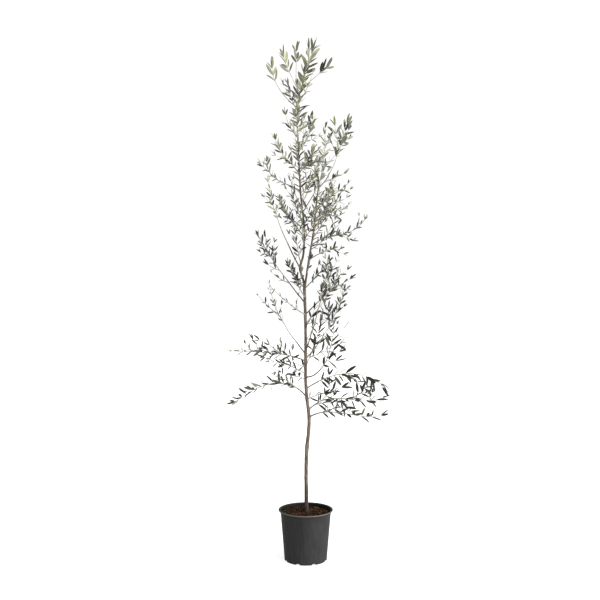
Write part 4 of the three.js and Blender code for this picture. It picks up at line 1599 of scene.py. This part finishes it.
    def ages(self, leaves: Leaves) -> np.ndarray:
        """How old each leaf is, by youth = 0.8 height + 0.7 freshness + 0.4 scatter.

        They are younger with height and at the tips, and a share of last year's leaves hangs on everywhere.
        The oldest are painted near black on both faces: partly their age, and partly painted shade, as most
        of them are dealt to the low crown.

        Args:
            leaves: The leaves.

        Returns:
            An age number for each: 0 the oldest, partly painted shade, 1 summer, 2 young.
        """
        low, high = self.young_height
        height = np.clip((leaves.root[:, 2] - low) / (high - low), -0.35, 1.0)
        youth = 0.8 * height + 0.7 * leaves.fresh + 0.4 * signed(leaves.seed, 51)
        youth = np.where(scatter(leaves.seed, 52) < self.hanging_on, -1.0, youth)
        return (youth > self.summer_from).astype(int) + (youth > self.young_from).astype(int)

    def build(self) -> list[Twig]:
        """Make a piece of leaves for each age.

        Returns:
            The side twigs, for the wood.
        """
        twigs, leaves = self.grown()
        leaves = leaves.kept(self.fits(leaves))
        ages = self.ages(leaves)
        for number, age in enumerate(Age):
            dealt = leaves.kept(ages == number)
            materials = [UPPER[age].material(), UNDER[age].material()]
            piece = self.blade.surface(dealt).piece("leaves_" + age.value, materials)
            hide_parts(*foliage_nodes())
            log.info("leaves_%s: %d leaves", age.value, len(dealt.root))
        return twigs


@dataclass
class NurseryPot:
    """The round pot: a tapered wall under a collar, a rolled lip, and arched drain slots round its foot."""

    height: float = 192.0
    rim_radius: float = 105.0
    neck_radius: float = 98.0
    base_radius: float = 82.0
    wall: float = 1.5
    foot_round: float = 2.5
    lip_round: float = 1.8
    lip_depth: float = 4.6
    collar_depth: float = 17.0
    collar_step: float = 0.6
    slots: int = 8
    slot_width: float = 17.0
    slot_height: float = 6.0
    slot_depth: float = 14.0
    sides: int = 288

    INSIDE_RINGS = 4

    def wall_radius(self, height: Numbers) -> np.ndarray:
        """The outer radius of the plain taper at a height."""
        share = np.asarray(height, float) / (self.height - self.lip_depth)
        return self.base_radius + (self.neck_radius - self.base_radius) * share

    def arc(
        self, centre: tuple[float, float], radius: float, start: float, end: float, steps: int
    ) -> np.ndarray:
        """A round corner of the profile: centre + radius (cos t, sin t).

        Args:
            centre: Its radius and height from the axis and the ground.
            radius: The corner's own radius.
            start: Its first angle in degrees.
            end: Its last angle.
            steps: How many points it has.

        Returns:
            The points.
        """
        t = np.radians(np.linspace(start, end, steps))
        return np.stack([centre[0] + radius * np.cos(t), centre[1] + radius * np.sin(t)], -1)

    def profile(self) -> np.ndarray:
        """The outline from the middle of the underside, out, up the wall, round the lip and back down inside.

        Returns:
            Radii and heights in millimetres. The last few, from inside the lip on, are the inside.
        """
        lip_foot = self.height - self.lip_depth
        collar = self.height - self.collar_depth
        slot_edge = self.base_radius - self.slot_depth
        radii = np.array([0.0, 40.0, slot_edge, slot_edge + 0.3, self.base_radius - 4.5])
        under = np.stack([radii, 0 * radii], -1)
        foot = (self.base_radius - self.foot_round, self.foot_round)
        foot_edge = self.arc(foot, self.foot_round, -80, -6, 6)
        heights = np.array([7.0, 12.0, 40.0, 80.0, 120.0, 150.0, collar - 0.6])
        wall = np.stack([self.wall_radius(heights) - self.collar_step, heights], -1)
        wall[0, 0] = self.base_radius + 0.3
        wall[1, 0] = self.wall_radius(12.0) - self.collar_step * 0.8
        heights = np.array([collar + 0.8, (collar + lip_foot) / 2, lip_foot - 0.6])
        neck = np.stack([self.wall_radius(heights), heights], -1)
        shelf = [[self.neck_radius + 0.9, lip_foot + 0.3], [self.rim_radius - 2.0, lip_foot + 0.3]]
        lip = self.rim_radius - self.lip_round
        roll = self.arc((lip, self.height - 2.6), self.lip_round, -60, 0, 5)
        top = self.arc((lip, self.height - self.lip_round), self.lip_round, 0, 90, 7)[1:]
        inner_top = self.arc((self.neck_radius + 0.9, self.height - 3.0), 2.4, 90, 176, 6)
        heights = np.array([150.0, 30.0])
        inner = np.stack([self.wall_radius(heights) - self.wall - self.collar_step, heights], -1)
        floor = [[self.base_radius - 9.0, 10.0], [0.0, 9.0]]
        return np.concatenate([under, foot_edge, wall, neck, shelf, roll, top, inner_top, inner, floor])

    def slot_lift(self, angle: np.ndarray, radius: np.ndarray, height: np.ndarray) -> np.ndarray:
        """How far the foot is raised over the drain slots.

        Within half a slot's width of its middle, the underside near the edge rises to the slot's height less
        what it already has; between slots it stays on the ground.

        Args:
            angle: Angles round the pot, in radians.
            radius: Radii in millimetres.
            height: Heights in millimetres.

        Returns:
            A rise in millimetres for each place.
        """
        pitch = 2 * np.pi / self.slots
        off = np.abs((angle / pitch) % 1.0 - 0.5) * pitch * self.base_radius
        inside = 1 - soft_step(self.slot_width / 2 - 1.2, self.slot_width / 2 + 0.4, off)
        arched = self.slot_height * (1 - 0.25 * (off / (self.slot_width / 2)) ** 2)
        near_edge = (radius > self.base_radius - self.slot_depth + 0.1) & (height < self.slot_height)
        return np.where(near_edge, inside * np.maximum(arched - height, 0) * 0.98, 0.0)

    def build(self) -> None:
        """Make the pot, with the tone 1 outside and 0 inside."""
        profile = self.profile()
        rings = len(profile) - 2
        # The last rings are the inside; tone 0 gives them the plastic's near-black painted shade.
        outside = np.arange(rings) < rings - self.INSIDE_RINGS
        skin = lathe(profile, self.sides, self.slot_lift, outside.astype(float))
        piece = skin.piece("nursery_pot", [POT_PLASTIC.material()], 40)
        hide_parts("pot")


@dataclass
class Compost:
    """The compost: a crumbly top, level where the trunk stands, with chips of bark and crumbs strewn on it.

    Sizes are in millimetres. Below its top it has a skirt, a few millimetres deep, inside the pot.
    """

    pot: NurseryPot
    top: float = SOIL_TOP
    edge_drop: float = 2.5
    edge_gap: float = 0.4
    skirt_heights: tuple[float, float] = (168.0, 160.0)
    skirt_foot: float = 70.0
    chips: int = 520
    chip_size: Triple = (7.2, 3.2, 1.3)
    crumbs: int = 1500
    crumb_size: Triple = (2.6, 2.0, 1.5)
    rings: int = 70
    sides: int = 150

    def edge(self) -> float:
        """The radius where the top meets the pot's wall."""
        inner = float(self.pot.wall_radius(self.top - self.edge_drop)) - self.pot.wall - self.pot.collar_step
        return inner - self.edge_gap

    def level(self, x: np.ndarray, y: np.ndarray) -> np.ndarray:
        """The height of the top: a gentle fall to the edge, and waves 4 to 40 mm long, 1.6 mm high.

        The waves are products of sines in x and y, and die away at the trunk and at the edge.

        Args:
            x: Places across.
            y: Places from front to back.

        Returns:
            A height for each place.
        """
        r = np.hypot(x, y)
        fall = self.edge_drop * soft_step(30, 96, r)
        waves = (
            0.8 * np.sin(x / 6.1 + 1.2 * np.sin(y / 8.3)) * np.sin(y / 6.9 + 1.7 * np.sin(x / 10.1))
            + 0.6 * np.sin(x / 2.3 + np.sin(y / 3.1)) * np.sin(y / 2.7 + 1.3)
            + 0.5 * np.sin((x + y) / 1.3) * np.sin((x - 1.4 * y) / 1.7)
        )
        return self.top - fall + waves * soft_step(8, 16, r) * (1 - 0.6 * soft_step(88, 95, r))

    def body(self) -> Surface:
        """The block of compost: a polar grid (r cos t, r sin t, level) for its top, closed by its skirt.

        Returns:
            The block, with a tone for each crumb of 3 mm.
        """
        shares = np.append(np.linspace(0.01, 1.0, self.rings), 1.0)
        radii = np.append(self.edge() * shares, self.skirt_foot)
        angle = angles_round(self.sides)
        radius = radii[:, None] + 0 * angle
        x, y = radius * np.cos(angle), radius * np.sin(angle)
        height = self.level(x, y)
        height[-2:] = np.array(self.skirt_heights)[:, None]
        skin = tube(np.stack([x, y, height], -1))
        skin.tone = scatter(np.floor(skin.vertices[:, 0] / 3), np.floor(skin.vertices[:, 1] / 3), 62)
        return skin

    def strewn(self, count: int, key: float, sizes: Triple, tilt: float) -> Surface:
        """Loose bits: boxes with pushed corners, turned at random and half sunk in the top.

        Args:
            count: How many bits there are.
            key: Which run of repeatable numbers places them.
            sizes: The mean length, width and thickness in millimetres.
            tilt: How far from flat they may lie, in degrees.

        Returns:
            The bits as one surface, with one of three finishes each.
        """
        n = np.arange(count)
        radius = np.sqrt(scatter(n, key, 1)) * (self.edge() - sizes[0] * 0.3)
        angle = 2 * np.pi * scatter(n, key, 2)
        x, y = radius * np.cos(angle), radius * np.sin(angle)
        grown = 0.55 + 0.9 * scatter(n, key, 3)
        square = ((-1, -1), (1, -1), (1, 1), (-1, 1))
        corner = np.array([[a, b, c] for c in (-1, 1) for a, b in square], float)
        push = 0.32 * signed(n[:, None, None] * 8 + np.arange(8)[None, :, None], key + np.arange(3), 4)
        box = (corner[None] + push) * np.array(sizes) / 2 * grown[:, None, None]
        lean = heading(360 * scatter(n, key, 5), 90 - tilt * scatter(n, key, 6))
        way = unit(np.cross(lean, heading(360 * scatter(n, key, 7), 0)))
        third = np.cross(lean, way)
        points = box[..., :1] * way[:, None] + box[..., 1:2] * third[:, None] + box[..., 2:] * lean[:, None]
        points = points + np.stack([x, y, self.level(x, y) + 0.35 * sizes[2]], -1)[:, None]
        faces = np.concatenate([[[0, 3, 2, 1], [4, 5, 6, 7]], ring_quads(2, 4)])
        kind = np.minimum((scatter(n, key, 8) ** 1.25 * len(CHIPS)).astype(int), len(CHIPS) - 1)
        return Surface(
            points.reshape(-1, 3),
            (faces + (n * len(corner))[:, None, None]).reshape(-1, 4),
            np.zeros((0, 3), int),
            quad_finish=np.repeat(kind, len(faces)),
            tone=np.repeat(scatter(n, key, 9), len(corner)),
        )

    def build(self) -> None:
        """Make the compost and what lies on it."""
        piece = self.body().piece("compost", [COMPOST.material()], 80)
        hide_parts("soil")
        chips = self.strewn(self.chips, 71.0, self.chip_size, 38)
        crumbs = self.strewn(self.crumbs, 72.0, self.crumb_size, 80)
        finishes = [finish.material() for finish in CHIPS]
        piece = Surface.joined([chips, crumbs]).piece("bark_chips", finishes, 30)
        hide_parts("soil")


@dataclass
class Studio:
    """The camera, the sky, the key light and the light table that the tree stands on. Sizes in metres."""

    eye: Triple = (-0.022, -3.051, 0.997)
    focal_pixels: float = 792.0
    frame_pixels: float = 600.0
    sky: float = 1.06
    key_strength: float = 9.4
    key_spread: float = 60.0
    key_place: Triple = (4.0, -2.2, 2.5)
    table_reach: float = 30.0
    table_cells: int = 12
    table_drop: float = 0.0004

    def key_light(self) -> None:
        """A broad soft light from the right front, above, that shines evenly over the whole height."""
        light = bpy.data.lights.new("key_light", "SUN")
        light.energy = self.key_strength
        light.angle = math.radians(self.key_spread)
        holder = bpy.data.objects.new("key_light", light)
        holder.location = self.key_place
        aim = -Vector(self.key_place)
        holder.rotation_euler = aim.to_track_quat("-Z", "Y").to_euler()
        bpy.context.scene.collection.objects.link(holder)

    def table(self) -> None:
        """The light table that is the floor: a wide flat grid of (x, y, -drop), a hair below the pot."""
        points = self.table_cells + 1
        grid = np.linspace(-self.table_reach, self.table_reach, points)
        x, y = np.meshgrid(grid, grid, indexing="ij")
        vertices = np.stack([x, y, np.full_like(x, -self.table_drop)], -1).reshape(-1, 3)
        cells = np.arange(self.table_cells)
        start = (cells[:, None] * points + cells).ravel()
        quads = np.stack([start, start + points, start + points + 1, start + 1], -1)
        mesh = bpy.data.meshes.new("studio_table")
        mesh.from_pydata(vertices.tolist(), [], quads.tolist())
        mesh.materials.append(TABLE_SHEET.material())
        sheet = bpy.data.objects.new("studio_table", mesh)
        bpy.context.scene.collection.objects.link(sheet)
        sheet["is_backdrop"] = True

    def camera(self) -> None:
        """A level camera at eye height, looking along +Y: its angle is 2 atan(frame / 2 focal)."""
        lens = bpy.data.cameras.new("camera")
        lens.sensor_fit = "HORIZONTAL"
        lens.angle = 2 * math.atan(self.frame_pixels / 2 / self.focal_pixels)
        lens.clip_end = 200.0
        holder = bpy.data.objects.new("camera", lens)
        holder.location = self.eye
        holder.rotation_euler = (math.radians(90), 0.0, 0.0)
        bpy.context.scene.collection.objects.link(holder)
        bpy.context.scene.camera = holder

    def build(self) -> None:
        """Set up the sky, the key light, the table and the camera."""
        world = bpy.data.worlds.new("studio")
        world.use_nodes = True
        sky = world.node_tree.nodes["Background"]
        sky.inputs["Color"].default_value = (1.0, 1.0, 1.0, 1.0)
        sky.inputs["Strength"].default_value = self.sky
        bpy.context.scene.world = world
        bpy.context.scene.view_settings.view_transform = "Standard"
        self.key_light()
        self.table()
        self.camera()


def main() -> None:
    """Build the tree, its pot and the studio."""
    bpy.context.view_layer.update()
    stems = {stem.name: stem for stem in STEMS}
    shoots = {shoot.name: shoot for shoot in SHOOTS}
    for number, shoot in enumerate(SHOOTS, start=1):
        shoot.grow(number, stems.get(shoot.parent) or shoots[shoot.parent])
    wood = Wood(stems, shoots)
    twigs = Crown(wood).build()
    wood.build(twigs)
    pot = NurseryPot()
    pot.build()
    Compost(pot).build()
    Studio().build()


if __name__ == "__main__":
    main()
